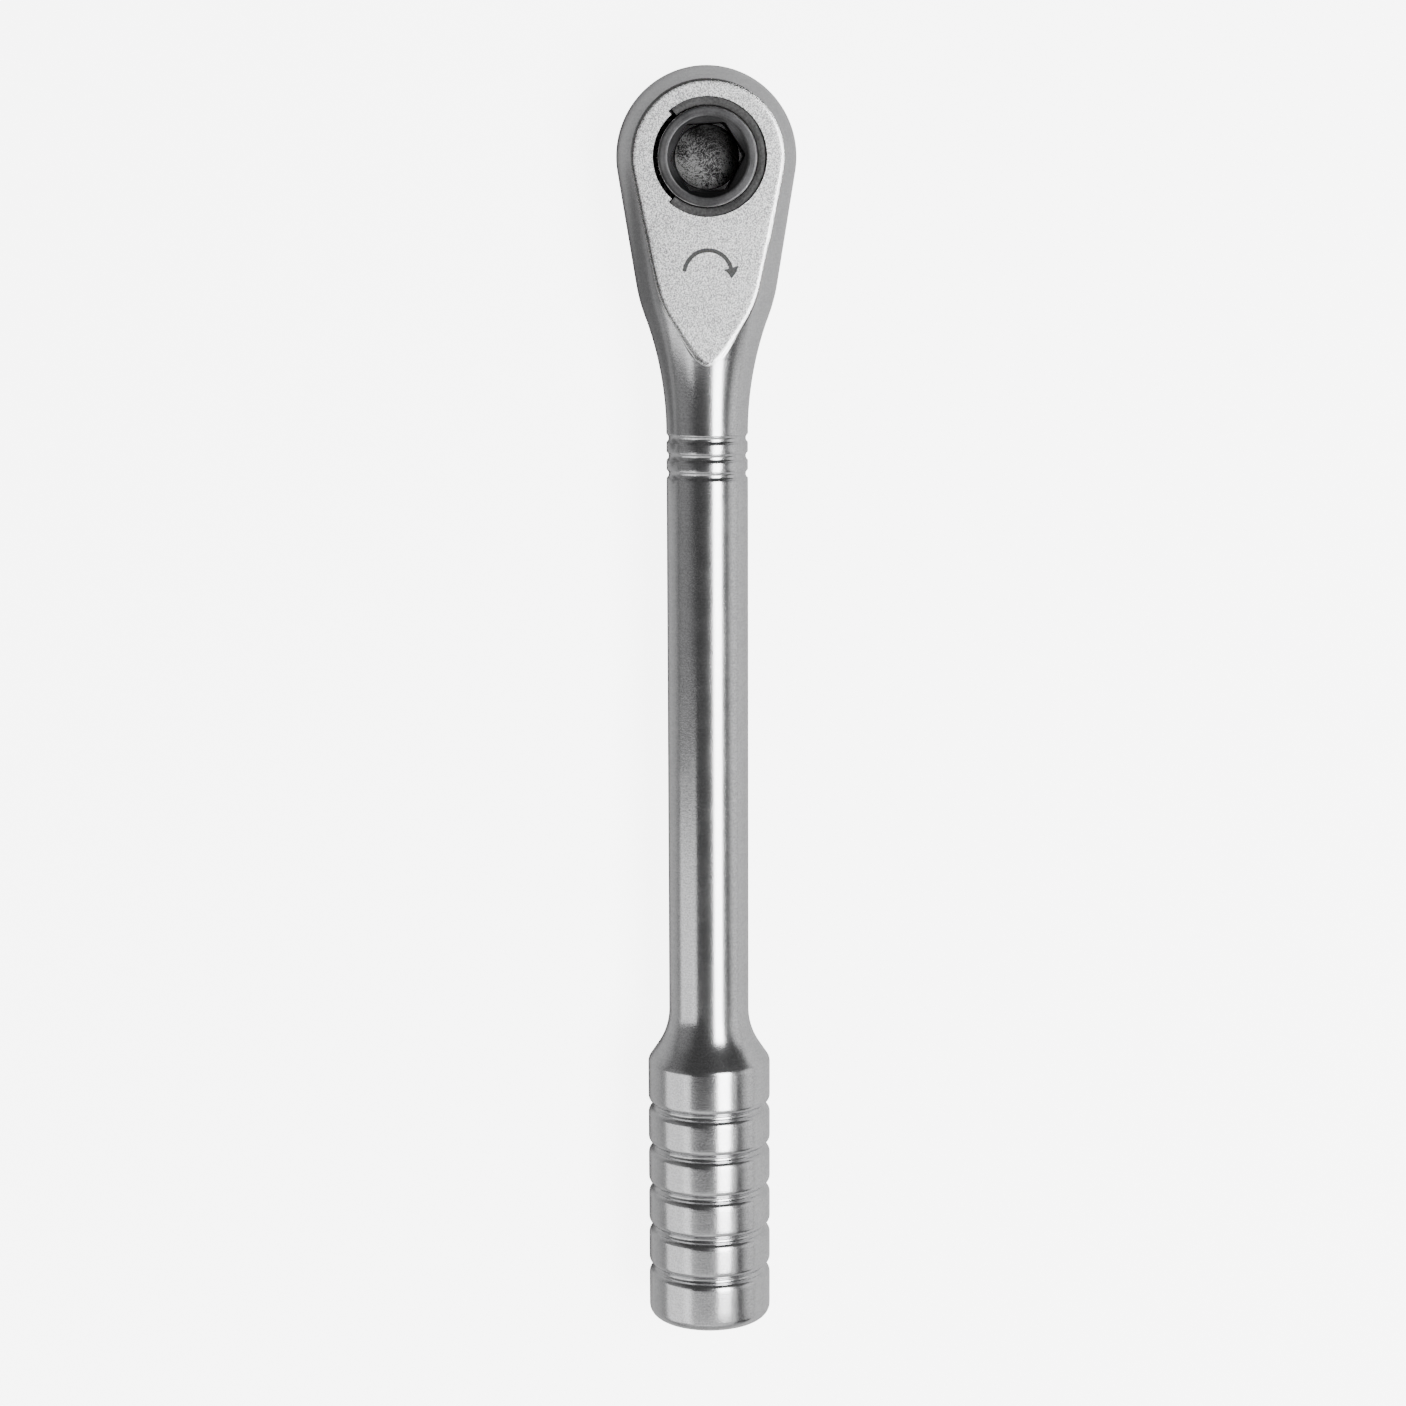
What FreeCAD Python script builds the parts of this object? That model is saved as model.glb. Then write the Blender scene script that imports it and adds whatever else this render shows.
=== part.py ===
import FreeCAD, Part
import math
import os
import re
import Sketcher

# Flip-type ratchet wrench with a quarter-inch hexagon bit socket.
# Millimetres. The origin is the drive axis on the wrench's mid-plane: +Z leaves the front
# face, +X runs along the handle to the grip. The back is the front turned over about X.

SIZES = [
    # The steel body is turned about X: a ball, a taper, a waisted neck, a shaft and a grip.
    ("ball_radius", 8.8, "round nose around the drive"),
    ("taper_angle", 9.2, "head taper, degrees"),
    ("kink_start", 12.2, "where the head taper starts to round over"),
    ("kink_radius", 17.0, "round between the head taper and the neck"),
    ("neck_angle", 19.3, "neck slope, degrees"),
    ("neck_run", 0.9, "straight before the neck's hollow"),
    ("shaft_radius", 4.05, "plain shaft"),
    ("flare_radius", 6.8, "hollow of the flare"),
    ("flare_angle", 33.7, "flare slope, degrees"),
    ("shoulder_radius", 1.0, "round at the grip's front edge"),
    ("grip_start", 91.12, "where the grip reaches its full size"),
    ("grip_radius", 6.225, "grip"),
    ("butt_radius", 1.2, "round at the butt"),
    ("flat_half", 4.85, "milled flats, from the mid-plane"),
    ("ring_step", 0.5, "end of the neck to its first decorative ring"),
    ("ring_pitch", 1.77, "ring spacing"),
    ("ring_depth", 0.22, "ring depth"),
    ("ring_cutter", 0.55, "ring section radius"),
    ("ring_count", 3, "rings"),
    ("front_land", 4.43, "grip's start to its first groove"),
    ("butt_land", 5.45, "last groove to the butt face"),
    ("groove_pitch", 4.3, "grip groove spacing"),
    ("groove_depth", 0.55, "grip groove depth"),
    ("groove_floor", 0.35, "grip groove floor radius"),
    ("groove_edge", 0.7, "grip groove edge radius"),
    ("groove_count", 5, "grip grooves"),
    # The drive bore, the snap ring's seat and the pawl's pocket.
    ("lip_thickness", 1.1, "rear lip that the gear seats on"),
    ("opening_step", 0.45, "opening over the snap ring, beyond the bore"),
    ("seat_step", 0.4, "snap ring groove, beyond its opening"),
    ("mouth_lip", 0.37, "lip over the snap ring"),
    ("land_angle", 98.0, "land between the snap ring's ends, degrees"),
    ("pocket_step", 0.6, "gear band's end to the pawl pocket's end"),
    ("pocket_depth", 3.95, "pawl pocket depth from the bore"),
    ("pocket_corner", 0.6, "pawl pocket corner cut"),
    ("spring_bore", 1.2, "spring hole radius"),
    ("spring_depth", 4.4, "spring hole depth from the pocket"),
    # The drive gear.
    ("gear_gap", 0.05, "tooth tips to bore"),
    ("hub_gap", 0.06, "hub to lip and to snap ring"),
    ("end_play", 0.05, "gear end play each side"),
    ("hub_wall", 0.94, "gear hub wall at the socket's mouth"),
    ("hub_proud", 0.2, "hub beyond the flats"),
    ("teeth", 36, "teeth all round"),
    ("tooth_depth", 0.4, "tooth depth"),
    ("tooth_land", 0.07, "tooth tip width"),
    ("steep_angle", 25.0, "locking flank, degrees off radial"),
    ("hex_flats", 6.4, "socket across flats"),
    ("hex_turn", 3.0, "socket turned from square, degrees"),
    ("mouth_gap", 0.165, "socket mouth, beyond the hexagon's corners"),
    ("mouth_depth", 0.6, "depth of the cone that leads a bit in"),
    ("mouth_slope", 45.0, "that cone, degrees from the gear axis"),
    ("edge_break", 0.12, "broken edges"),
    # The snap ring, the magnet, the pawl and its spring.
    ("snap_thickness", 0.8, "snap ring thickness"),
    ("snap_play", 0.03, "snap ring play in its groove, each face"),
    ("snap_spring", 0.08, "snap ring rim to groove floor"),
    ("snap_gap_low", 1.5, "snap ring end gap on the neck side, degrees"),
    ("snap_gap_high", 4.0, "snap ring end gap on the nose side, degrees"),
    ("magnet_thickness", 1.8, "magnet"),
    ("magnet_gap", 0.025, "adhesive line round the magnet"),
    ("pawl_gap", 0.06, "pawl to pocket walls"),
    ("pawl_travel", 0.5, "pawl lift out of mesh"),
    ("pawl_rest_gap", 0.1, "left behind the lifted pawl"),
    ("pawl_teeth", 5, "teeth on the pawl"),
    ("pawl_side", 0.64, "pawl beside its outer teeth"),
    ("mesh_gap", 0.12, "pawl teeth off the gear's roots"),
    ("seat_depth", 1.5, "spring seat in the pawl"),
    ("wire_radius", 0.15, "spring wire"),
    ("coil_gap", 0.12, "spring to its hole"),
    ("coil_turns", 9, "spring turns"),
]

MARGIN = 1.0    # how far a cutting outline reaches past the metal it cuts

# The fits are built outwards from the socket, so a change to one size carries the rest.
HEX_CORNER = "hex_flats / 2 / cos(30 deg)"
MOUTH = HEX_CORNER + " + mouth_gap"
HUB = MOUTH + " + hub_wall"
TIP = HUB + " + tooth_depth"
BORE = TIP + " + gear_gap"
OPENING = BORE + " + opening_step"
SEAT = OPENING + " + seat_step"
SNAP_INSIDE = HUB + " + hub_gap"
SNAP_BOTTOM = "flat_half - mouth_lip - snap_play - snap_thickness"
BAND_TOP = SNAP_BOTTOM + " - end_play"
BAND_BOTTOM = "-flat_half + lip_thickness + end_play"
POCKET_HEIGHT = "2 * (%s - pocket_step)" % BAND_TOP
POCKET_END = BORE + " + pocket_depth"
PAWL_BACK = POCKET_END + " - pawl_travel - pawl_rest_gap"
PAWL_HALF = "(%s) * sin(pawl_teeth * 180 / teeth * 1 deg) + pawl_side" % TIP
NECK_END = "long_section.Constraints.neck_end / 1 mm"
GROOVE_FIRST = "grip_start + front_land"
BODY_END = GROOVE_FIRST + " + (groove_count - 1) * groove_pitch + butt_land"

doc = FreeCAD.newDocument("ratchet_wrench")
sheet = doc.addObject("Spreadsheet::Sheet", "Sizes")
for row, (alias, value, note) in enumerate(SIZES, 1):
    sheet.set("A%d" % row, alias)
    sheet.set("B%d" % row, str(value))
    sheet.set("C%d" % row, note)
    sheet.setAlias("B%d" % row, alias)
doc.recompute()

size = {alias: float(sheet.get(alias)) for alias, _, _ in SIZES}


# ---- sketch and feature helpers ----------------------------------------------------------

def vec(x, y, z=0.0):
    return FreeCAD.Vector(x, y, z)


def polar(radius, degrees):
    return vec(radius * math.cos(math.radians(degrees)), radius * math.sin(math.radians(degrees)))


def cell(expression):
    """An expression with every size's alias pointed at the sheet."""
    return re.sub(r"[a-z_]+", lambda word: ("Sizes." if word.group() in size else "") + word.group(),
                  expression)


def new_body(name):
    body = doc.addObject("PartDesign::Body", name)
    body.Label = name
    return body


def origin_feature(body, role):
    return [item for item in body.Origin.OriginFeatures if item.Role == role][0]


def new_sketch(body, name, plane, height=None, turn=None):
    """A sketch on one of the body's own planes, raised and turned by expressions."""
    sketch = body.newObject("Sketcher::SketchObject", name)
    sketch.AttachmentSupport = [(origin_feature(body, plane), "")]
    sketch.MapMode = "FlatFace"
    if turn:
        sketch.AttachmentOffset = FreeCAD.Placement(vec(0, 0), FreeCAD.Rotation(vec(0, 0, 1), 1.0))
        sketch.setExpression(".AttachmentOffset.Rotation.Angle", cell(turn))
    if height:
        sketch.setExpression(".AttachmentOffset.Base.z", cell(height))
    return sketch


def line(start, end):
    """A straight edge, with the vertex numbers of its start and its end."""
    return Part.LineSegment(start, end), 1, 2


def arc(centre, start, end, clockwise=False):
    """A circular edge run from start to end, with its vertex numbers in that order."""
    first, last = (end, start) if clockwise else (start, end)
    angles = [math.atan2(point.y - centre.y, point.x - centre.x) for point in (first, last)]
    edge = Part.ArcOfCircle(Part.Circle(centre, vec(0, 0, 1), (start - centre).Length), *angles)
    return (edge, 2, 1) if clockwise else (edge, 1, 2)


def outline(sketch, edges, sharp):
    """Close a loop of edges. The joints after the edges in sharp meet; the rest run smooth."""
    ids = [sketch.addGeometry(edge[0], False) for edge in edges]
    for index, number in enumerate(ids):
        after = (index + 1) % len(ids)
        kind = "Coincident" if index in sharp else "Tangent"
        sketch.addConstraint(Sketcher.Constraint(
            kind, number, edges[index][2], ids[after], edges[after][1]))
    return ids


def dimension(sketch, kind, expression, *where):
    """A driving dimension worked out from the sheet's sizes."""
    if kind in ("DistanceX", "DistanceY"):
        point = sketch.getPoint(*where)
        now = point.x if kind == "DistanceX" else point.y
        where = (-1, 1) + where
    elif kind == "Radius":
        now = sketch.Geometry[where[0]].Radius
    elif kind == "Distance":
        now = sketch.Geometry[where[0]].length()
    else:
        run = sketch.Geometry[where[0]].EndPoint - sketch.Geometry[where[0]].StartPoint
        now = math.atan2(run.y, run.x)
    index = sketch.addConstraint(Sketcher.Constraint(kind, *where, now))
    name = "%s_%d" % (kind.lower(), index)
    sketch.renameConstraint(index, name)
    sketch.setExpression("Constraints." + name, cell(expression))


def polygon(sketch, corners):
    """A closed polygon whose corners are pairs of expressions."""
    points = [polar(size["hex_flats"], 360.0 * index / len(corners)) for index in range(len(corners))]
    edges = [line(start, end) for start, end in zip(points, points[1:] + points[:1])]
    ids = outline(sketch, edges, sharp=range(len(edges)))
    for number, (across, up) in zip(ids, corners):
        dimension(sketch, "DistanceX", across, number, 1)
        dimension(sketch, "DistanceY", up, number, 1)


def circle(sketch, radius):
    number = sketch.addGeometry(Part.Circle(vec(0, 0), vec(0, 0, 1), 1.0), False)
    sketch.addConstraint(Sketcher.Constraint("Coincident", number, 3, -1, 1))
    dimension(sketch, "Radius", radius, number)


def sector(sketch, inner, outer, low, high, low_text, high_text):
    """The part of a ring between two angles, in degrees. Its radii are expressions."""
    near, far = size["hex_flats"] / 2, size["hex_flats"]    # only where the solver starts from
    ids = outline(sketch, [
        arc(vec(0, 0), polar(far, low), polar(far, high)),
        line(polar(far, high), polar(near, high)),
        arc(vec(0, 0), polar(near, high), polar(near, low), clockwise=True),
        line(polar(near, low), polar(far, low)),
    ], sharp=range(4))
    for number, radius in ((ids[0], outer), (ids[2], inner)):
        sketch.addConstraint(Sketcher.Constraint("Coincident", number, 3, -1, 1))
        dimension(sketch, "Radius", radius, number)
    for vertex, side, text in ((1, ids[3], low_text), (2, ids[1], high_text)):
        sketch.addConstraint(Sketcher.Constraint("PointOnObject", -1, 1, side))
        dimension(sketch, "DistanceX", "(%s) * cos((%s) * 1 deg)" % (outer, text), ids[0], vertex)


def feature(body, kind, name, sketch, bound=(), **values):
    """A sketch-based feature: values are set, and the bound pairs follow the sheet."""
    item = body.newObject("PartDesign::" + kind, name)
    item.Profile = sketch
    for key, value in values.items():
        setattr(item, key, value)
    for key, expression in bound:
        item.setExpression(key, cell(expression))
    body.Tip = item
    doc.recompute()
    return item


def pattern(body, kind, name, original, bound, **values):
    """A linear or polar pattern, or a mirror image, of one feature."""
    item = body.newObject("PartDesign::" + kind, name)
    item.Originals = [original]
    for key, value in values.items():
        setattr(item, key, value)
    for key, expression in bound:
        item.setExpression(key, cell(expression))
    body.Tip = item
    doc.recompute()
    return item


def chamfer(body, name, width, circles):
    """Chamfer the full circles about Z that are named by (radius, height)."""
    base = body.Tip
    edges = []
    for number, edge in enumerate(base.Shape.Edges, 1):
        curve = None if edge.Degenerated else edge.Curve
        if isinstance(curve, Part.Circle) and math.hypot(curve.Center.x, curve.Center.y) < 1e-4:
            place = (curve.Radius, curve.Center.z)
            if any(math.dist(place, wanted) < 1e-4 for wanted in circles):
                edges.append("Edge%d" % number)
    item = body.newObject("PartDesign::Chamfer", name)
    item.Base = (base, edges)
    item.setExpression("Size", cell(width))
    body.Tip = item
    doc.recompute()
    return item


# ---- wrench_body: head, shaft and grip turned from one bar --------------------------------

def turned_outline(sketch):
    """Half of the long section, run from the nose to the butt and back along the axis."""
    taper, neck, flare = (math.radians(size[name]) for name in
                          ("taper_angle", "neck_angle", "flare_angle"))
    ball, shaft, grip = size["ball_radius"], size["shaft_radius"], size["grip_radius"]

    nose = vec(-ball, 0)
    ball_end = vec(math.sin(taper), math.cos(taper)) * ball
    kink_in = vec(size["kink_start"], ball_end.y - (size["kink_start"] - ball_end.x) * math.tan(taper))
    kink_centre = kink_in - vec(math.sin(taper), math.cos(taper)) * size["kink_radius"]
    kink_out = kink_centre + vec(math.sin(neck), math.cos(neck)) * size["kink_radius"]
    neck_in = kink_out + vec(math.cos(neck), -math.sin(neck)) * size["neck_run"]
    neck_radius = (neck_in.y - shaft) / (1 - math.cos(neck))
    neck_centre = neck_in + vec(math.sin(neck), math.cos(neck)) * neck_radius
    neck_out = vec(neck_centre.x, shaft)

    uphill = vec(-math.sin(flare), math.cos(flare))
    shoulder_out = vec(size["grip_start"], grip)
    shoulder_centre = shoulder_out - vec(0, size["shoulder_radius"])
    shoulder_in = shoulder_centre + uphill * size["shoulder_radius"]
    flare_out_y = shaft + size["flare_radius"] * (1 - math.cos(flare))
    flare_out = vec(shoulder_in.x - (shoulder_in.y - flare_out_y) / math.tan(flare), flare_out_y)
    flare_centre = flare_out + uphill * size["flare_radius"]
    flare_in = vec(flare_centre.x, shaft)
    body_end = (size["grip_start"] + size["front_land"] + size["butt_land"]
                + (size["groove_count"] - 1) * size["groove_pitch"])
    butt_centre = vec(body_end - size["butt_radius"], grip - size["butt_radius"])
    butt_in = vec(butt_centre.x, grip)
    butt_out = vec(body_end, butt_centre.y)
    butt_middle = vec(body_end, 0)

    ids = outline(sketch, [
        arc(vec(0, 0), nose, ball_end, clockwise=True),
        line(ball_end, kink_in),
        arc(kink_centre, kink_in, kink_out, clockwise=True),
        line(kink_out, neck_in),
        arc(neck_centre, neck_in, neck_out),
        line(neck_out, flare_in),
        arc(flare_centre, flare_in, flare_out),
        line(flare_out, shoulder_in),
        arc(shoulder_centre, shoulder_in, shoulder_out, clockwise=True),
        line(shoulder_out, butt_in),
        arc(butt_centre, butt_in, butt_out, clockwise=True),
        line(butt_out, butt_middle),
        line(butt_middle, nose),
    ], sharp=(11, 12))
    ball_arc, head_side, kink, neck_side = ids[:4]
    shaft_side, hollow, flare_side, shoulder, grip_side, butt, butt_face, axis = ids[5:]
    sketch.addConstraint(Sketcher.Constraint("Coincident", ball_arc, 3, -1, 1))
    sketch.addConstraint(Sketcher.Constraint("PointOnObject", axis, 1, -1))
    for level in (shaft_side, grip_side, axis):
        sketch.addConstraint(Sketcher.Constraint("Horizontal", level))
    sketch.addConstraint(Sketcher.Constraint("Vertical", butt_face))
    for number, radius in ((ball_arc, "ball_radius"), (kink, "kink_radius"),
                           (hollow, "flare_radius"), (shoulder, "shoulder_radius"),
                           (butt, "butt_radius")):
        dimension(sketch, "Radius", radius, number)
    dimension(sketch, "Angle", "-taper_angle", head_side)
    dimension(sketch, "Angle", "-neck_angle", neck_side)
    dimension(sketch, "Angle", "flare_angle", flare_side)
    dimension(sketch, "DistanceX", "kink_start", head_side, 2)
    dimension(sketch, "Distance", "neck_run", neck_side)
    dimension(sketch, "DistanceY", "shaft_radius", shaft_side, 2)
    dimension(sketch, "DistanceX", "grip_start", grip_side, 1)
    dimension(sketch, "DistanceY", "grip_radius", grip_side, 1)
    dimension(sketch, "DistanceX", BODY_END, axis, 1)
    measured = sketch.addConstraint(Sketcher.Constraint("DistanceX", -1, 1, shaft_side, 1, neck_out.x))
    sketch.setDriving(measured, False)
    sketch.renameConstraint(measured, "neck_end")


def grip_groove_outline(sketch):
    """One grip groove: a rounded floor that runs smoothly into two rounded edges."""
    middle, grip = size["grip_start"] + size["front_land"], size["grip_radius"]
    edge, floor = size["groove_edge"], size["groove_floor"]
    drop = edge + floor - size["groove_depth"]
    half = math.sqrt((edge + floor) ** 2 - drop ** 2)
    floor_centre = vec(middle, grip - size["groove_depth"] + floor)
    edge_centres = [vec(middle + side * half, grip - edge) for side in (-1, 1)]
    lands = [centre + vec(0, edge) for centre in edge_centres]
    joints = [centre + (floor_centre - centre) * (edge / (edge + floor)) for centre in edge_centres]
    tops = [land + vec(0, MARGIN) for land in lands]
    ids = outline(sketch, [
        arc(edge_centres[0], lands[0], joints[0], clockwise=True),
        arc(floor_centre, joints[0], joints[1]),
        arc(edge_centres[1], joints[1], lands[1], clockwise=True),
        line(lands[1], tops[1]),
        line(tops[1], tops[0]),
        line(tops[0], lands[0]),
    ], sharp=(2, 3, 4, 5))
    for upright in (ids[3], ids[5]):
        sketch.addConstraint(Sketcher.Constraint("Vertical", upright))
    sketch.addConstraint(Sketcher.Constraint("Horizontal", ids[4]))
    for rounded, upright in ((ids[0], ids[5]), (ids[2], ids[3])):
        dimension(sketch, "Radius", "groove_edge", rounded)
        dimension(sketch, "DistanceY", "grip_radius - groove_edge", rounded, 3)
        sketch.addConstraint(Sketcher.Constraint("PointOnObject", rounded, 3, upright))
    dimension(sketch, "Radius", "groove_floor", ids[1])
    dimension(sketch, "DistanceX", GROOVE_FIRST, ids[1], 3)
    dimension(sketch, "DistanceY", "grip_radius - groove_depth + groove_floor", ids[1], 3)
    dimension(sketch, "DistanceY", "grip_radius + %s" % MARGIN, ids[4], 1)


def pocket_corners(front, back, half):
    """The plan of the pawl's pocket, and of the pawl: square in front, cut corners behind."""
    cut_x, cut_y = "%s - pocket_corner" % back, "%s - pocket_corner" % half
    return [(front, "-(%s)" % half), (cut_x, "-(%s)" % half), (back, "-(%s)" % cut_y),
            (back, cut_y), (cut_x, half), (front, half)]


def mouth_radius():
    return size["hex_flats"] / 2 / math.cos(math.radians(30)) + size["mouth_gap"]


def hub_radius():
    return mouth_radius() + size["hub_wall"]


def make_wrench_body():
    body = new_body("wrench_body")
    profile = new_sketch(body, "long_section", "XY_Plane")
    turned_outline(profile)
    feature(body, "Revolution", "turned_bar", profile, ReferenceAxis=(profile, ["H_Axis"]))

    ring = new_sketch(body, "neck_ring_section", "XY_Plane")
    section = ring.addGeometry(Part.Circle(vec(0, 0), vec(0, 0, 1), size["ring_cutter"]), False)
    dimension(ring, "Radius", "ring_cutter", section)
    dimension(ring, "DistanceX", NECK_END + " + ring_step", section, 3)
    dimension(ring, "DistanceY", "shaft_radius - ring_depth + ring_cutter", section, 3)
    cut = feature(body, "Groove", "neck_ring", ring, ReferenceAxis=(ring, ["H_Axis"]))
    pattern(body, "LinearPattern", "neck_rings", cut, Direction=(ring, ["H_Axis"]), Mode="Spacing",
            bound=(("Offset", "ring_pitch"), ("Occurrences", "ring_count")))

    groove = new_sketch(body, "grip_groove_section", "XY_Plane")
    grip_groove_outline(groove)
    cut = feature(body, "Groove", "grip_groove", groove, ReferenceAxis=(groove, ["H_Axis"]))
    pattern(body, "LinearPattern", "grip_grooves", cut, Direction=(groove, ["H_Axis"]),
            Mode="Spacing", bound=(("Offset", "groove_pitch"), ("Occurrences", "groove_count")))

    # Two parallel flats across the head. The neck is thinner than the flats where they stop.
    milling = new_sketch(body, "flat_milling", "XZ_Plane")
    start, top = "-ball_radius - %s" % MARGIN, "ball_radius + %s" % MARGIN
    polygon(milling, [(start, "flat_half"), (NECK_END, "flat_half"), (NECK_END, top), (start, top)])
    cut = feature(body, "Pocket", "front_flat", milling, SideType="Symmetric", Type="ThroughAll")
    pattern(body, "Mirrored", "flats", cut, MirrorPlane=(origin_feature(body, "XY_Plane"), [""]),
            bound=())

    # The gear drops in from the front onto a rear lip, under a snap ring.
    bore = new_sketch(body, "gear_bore_edge", "XY_Plane", height="flat_half")
    circle(bore, BORE)
    feature(body, "Pocket", "gear_bore", bore, bound=(("Length", "2 * flat_half - lip_thickness"),))
    lip = new_sketch(body, "lip_bore_edge", "XY_Plane", height="flat_half")
    circle(lip, SNAP_INSIDE)
    feature(body, "Pocket", "lip_bore", lip, Type="ThroughAll")

    half_land = size["land_angle"] / 2
    ends = (-90 + half_land, 270 - half_land, "-90 + land_angle / 2", "270 - land_angle / 2")
    opening = new_sketch(body, "snap_ring_opening_edge", "XY_Plane", height="flat_half")
    sector(opening, HUB, OPENING, *ends)
    feature(body, "Pocket", "snap_ring_opening", opening, bound=(("Length", "mouth_lip"),))
    seat = new_sketch(body, "snap_ring_seat_edge", "XY_Plane", height="flat_half - mouth_lip")
    sector(seat, HUB, SEAT, *ends)
    feature(body, "Pocket", "snap_ring_seat", seat,
            bound=(("Length", "snap_thickness + 2 * snap_play"),))

    # The pawl slides in a pocket cut from the bore towards the neck, with its spring behind it.
    pocket = new_sketch(body, "pawl_pocket_edge", "XY_Plane")
    polygon(pocket, pocket_corners("0", POCKET_END, PAWL_HALF + " + pawl_gap"))
    feature(body, "Pocket", "pawl_pocket", pocket, SideType="Symmetric",
            bound=(("Length", POCKET_HEIGHT),))
    drill = new_sketch(body, "spring_hole_edge", "YZ_Plane", height="%s - %s" % (POCKET_END, MARGIN))
    circle(drill, "spring_bore")
    feature(body, "Pocket", "spring_hole", drill, Reversed=True,
            bound=(("Length", "spring_depth + %s" % MARGIN),))
    chamfer(body, "lip_edge", "edge_break", [(hub_radius() + size["hub_gap"], -size["flat_half"])])
    return body


# ---- drive_gear: a toothed band between two hubs, with a hexagon socket through it --------
# The steep flanks face anticlockwise, seen from the front, so a clockwise pull on the handle
# drives the gear and the other way ratchets.

def tooth_space(sketch, lift, reach):
    """The space between two teeth, lifted off the root and run out past the tips by reach."""
    steep = "-tooth_depth * tan(steep_angle * 1 deg)"
    ramp = "2 * pi * (%s) / teeth - tooth_land %s" % (TIP, steep)
    root, tip, out = (text + " + " + lift for text in (HUB, TIP, TIP + " + " + reach))
    polygon(sketch, [(root, "0"), (tip, steep), (out, steep), (out, ramp), (tip, ramp)])


def make_drive_gear():
    body = new_body("drive_gear")
    band = new_sketch(body, "band_edge", "XY_Plane", height=BAND_BOTTOM)
    circle(band, TIP)
    feature(body, "Pad", "tooth_band", band, bound=(("Length", "%s - (%s)" % (BAND_TOP, BAND_BOTTOM)),))
    space = new_sketch(body, "tooth_space_edge", "XY_Plane")
    tooth_space(space, "0", str(MARGIN))
    cut = feature(body, "Pocket", "tooth_space", space, SideType="Symmetric", Type="ThroughAll")
    pattern(body, "PolarPattern", "tooth_spaces", cut, Axis=(origin_feature(body, "Z_Axis"), [""]),
            Angle=360, bound=(("Occurrences", "teeth"),))
    hub = new_sketch(body, "hub_edge", "XY_Plane")
    circle(hub, HUB)
    feature(body, "Pad", "hubs", hub, SideType="Symmetric",
            bound=(("Length", "2 * (flat_half + hub_proud)"),))

    socket = new_sketch(body, "socket_edge", "XY_Plane", turn="hex_turn")
    polygon(socket, [("%s * cos(%d deg)" % (HEX_CORNER, angle), "%s * sin(%d deg)" % (HEX_CORNER, angle))
                     for angle in range(30, 390, 60)])
    feature(body, "Pocket", "socket", socket, SideType="Symmetric", Type="ThroughAll")
    for side, direction in (("front", False), ("rear", True)):
        sign = "-1" if direction else "1"
        mouth = new_sketch(body, side + "_mouth_edge", "XY_Plane",
                           height="%s * (flat_half + hub_proud)" % sign)
        circle(mouth, MOUTH)
        feature(body, "Pocket", side + "_mouth", mouth, Reversed=direction,
                bound=(("Length", "mouth_depth"), ("TaperAngle", "-mouth_slope * 1 deg")))
    face = size["flat_half"] + size["hub_proud"]
    chamfer(body, "hub_edges", "edge_break",
            [(radius, side * face) for radius in (hub_radius(), mouth_radius()) for side in (-1, 1)])
    return body


# ---- retaining_ring: a plain C-shaped snap ring, sprung into its groove -------------------

def make_retaining_ring():
    body = new_body("retaining_ring")
    low = -90 + size["land_angle"] / 2 + size["snap_gap_low"]
    high = 270 - size["land_angle"] / 2 - size["snap_gap_high"]
    ring = new_sketch(body, "ring_edge", "XY_Plane", height=SNAP_BOTTOM)
    sector(ring, SNAP_INSIDE, SEAT + " - snap_spring", low, high,
           "-90 + land_angle / 2 + snap_gap_low", "270 - land_angle / 2 - snap_gap_high")
    feature(body, "Pad", "ring", ring, bound=(("Length", "snap_thickness"),))
    return body


# ---- bit_magnet: a disc bonded in the middle of the socket --------------------------------

def make_bit_magnet():
    body = new_body("bit_magnet")
    disc = new_sketch(body, "disc_edge", "XY_Plane")
    circle(disc, "hex_flats / 2 - magnet_gap")
    feature(body, "Pad", "disc", disc, SideType="Symmetric", bound=(("Length", "magnet_thickness"),))
    rim, half = size["hex_flats"] / 2 - size["magnet_gap"], size["magnet_thickness"] / 2
    chamfer(body, "disc_edges", "edge_break", [(rim, -half), (rim, half)])
    return body


# ---- pawl: a block with a toothed front, pushed into the gear by its spring ---------------

def make_pawl():
    body = new_body("pawl")
    block = new_sketch(body, "block_edge", "XY_Plane")
    polygon(block, pocket_corners("0", PAWL_BACK, PAWL_HALF))
    height = (("Length", "%s - 2 * pawl_gap" % POCKET_HEIGHT),)
    feature(body, "Pad", "block", block, SideType="Symmetric", bound=height)
    hollow = new_sketch(body, "front_hollow_edge", "XY_Plane")
    circle(hollow, TIP + " + mesh_gap")
    feature(body, "Pocket", "front_hollow", hollow, SideType="Symmetric", Type="ThroughAll")
    tooth = new_sketch(body, "tooth_edge", "XY_Plane", turn="-(pawl_teeth - 1) * 180 / teeth")
    tooth_space(tooth, "mesh_gap", "2 * mesh_gap")
    first = feature(body, "Pad", "tooth", tooth, SideType="Symmetric", bound=height)
    pattern(body, "PolarPattern", "pawl_teeth", first, Axis=(origin_feature(body, "Z_Axis"), [""]),
            Mode="Spacing", bound=(("Offset", "360 / teeth"), ("Occurrences", "pawl_teeth")))
    seat = new_sketch(body, "spring_seat_edge", "YZ_Plane", height=PAWL_BACK)
    circle(seat, "spring_bore")
    feature(body, "Pocket", "spring_seat", seat, bound=(("Length", "seat_depth"),))
    return body


# ---- pawl_spring: a round-wire compression spring along X ---------------------------------

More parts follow.
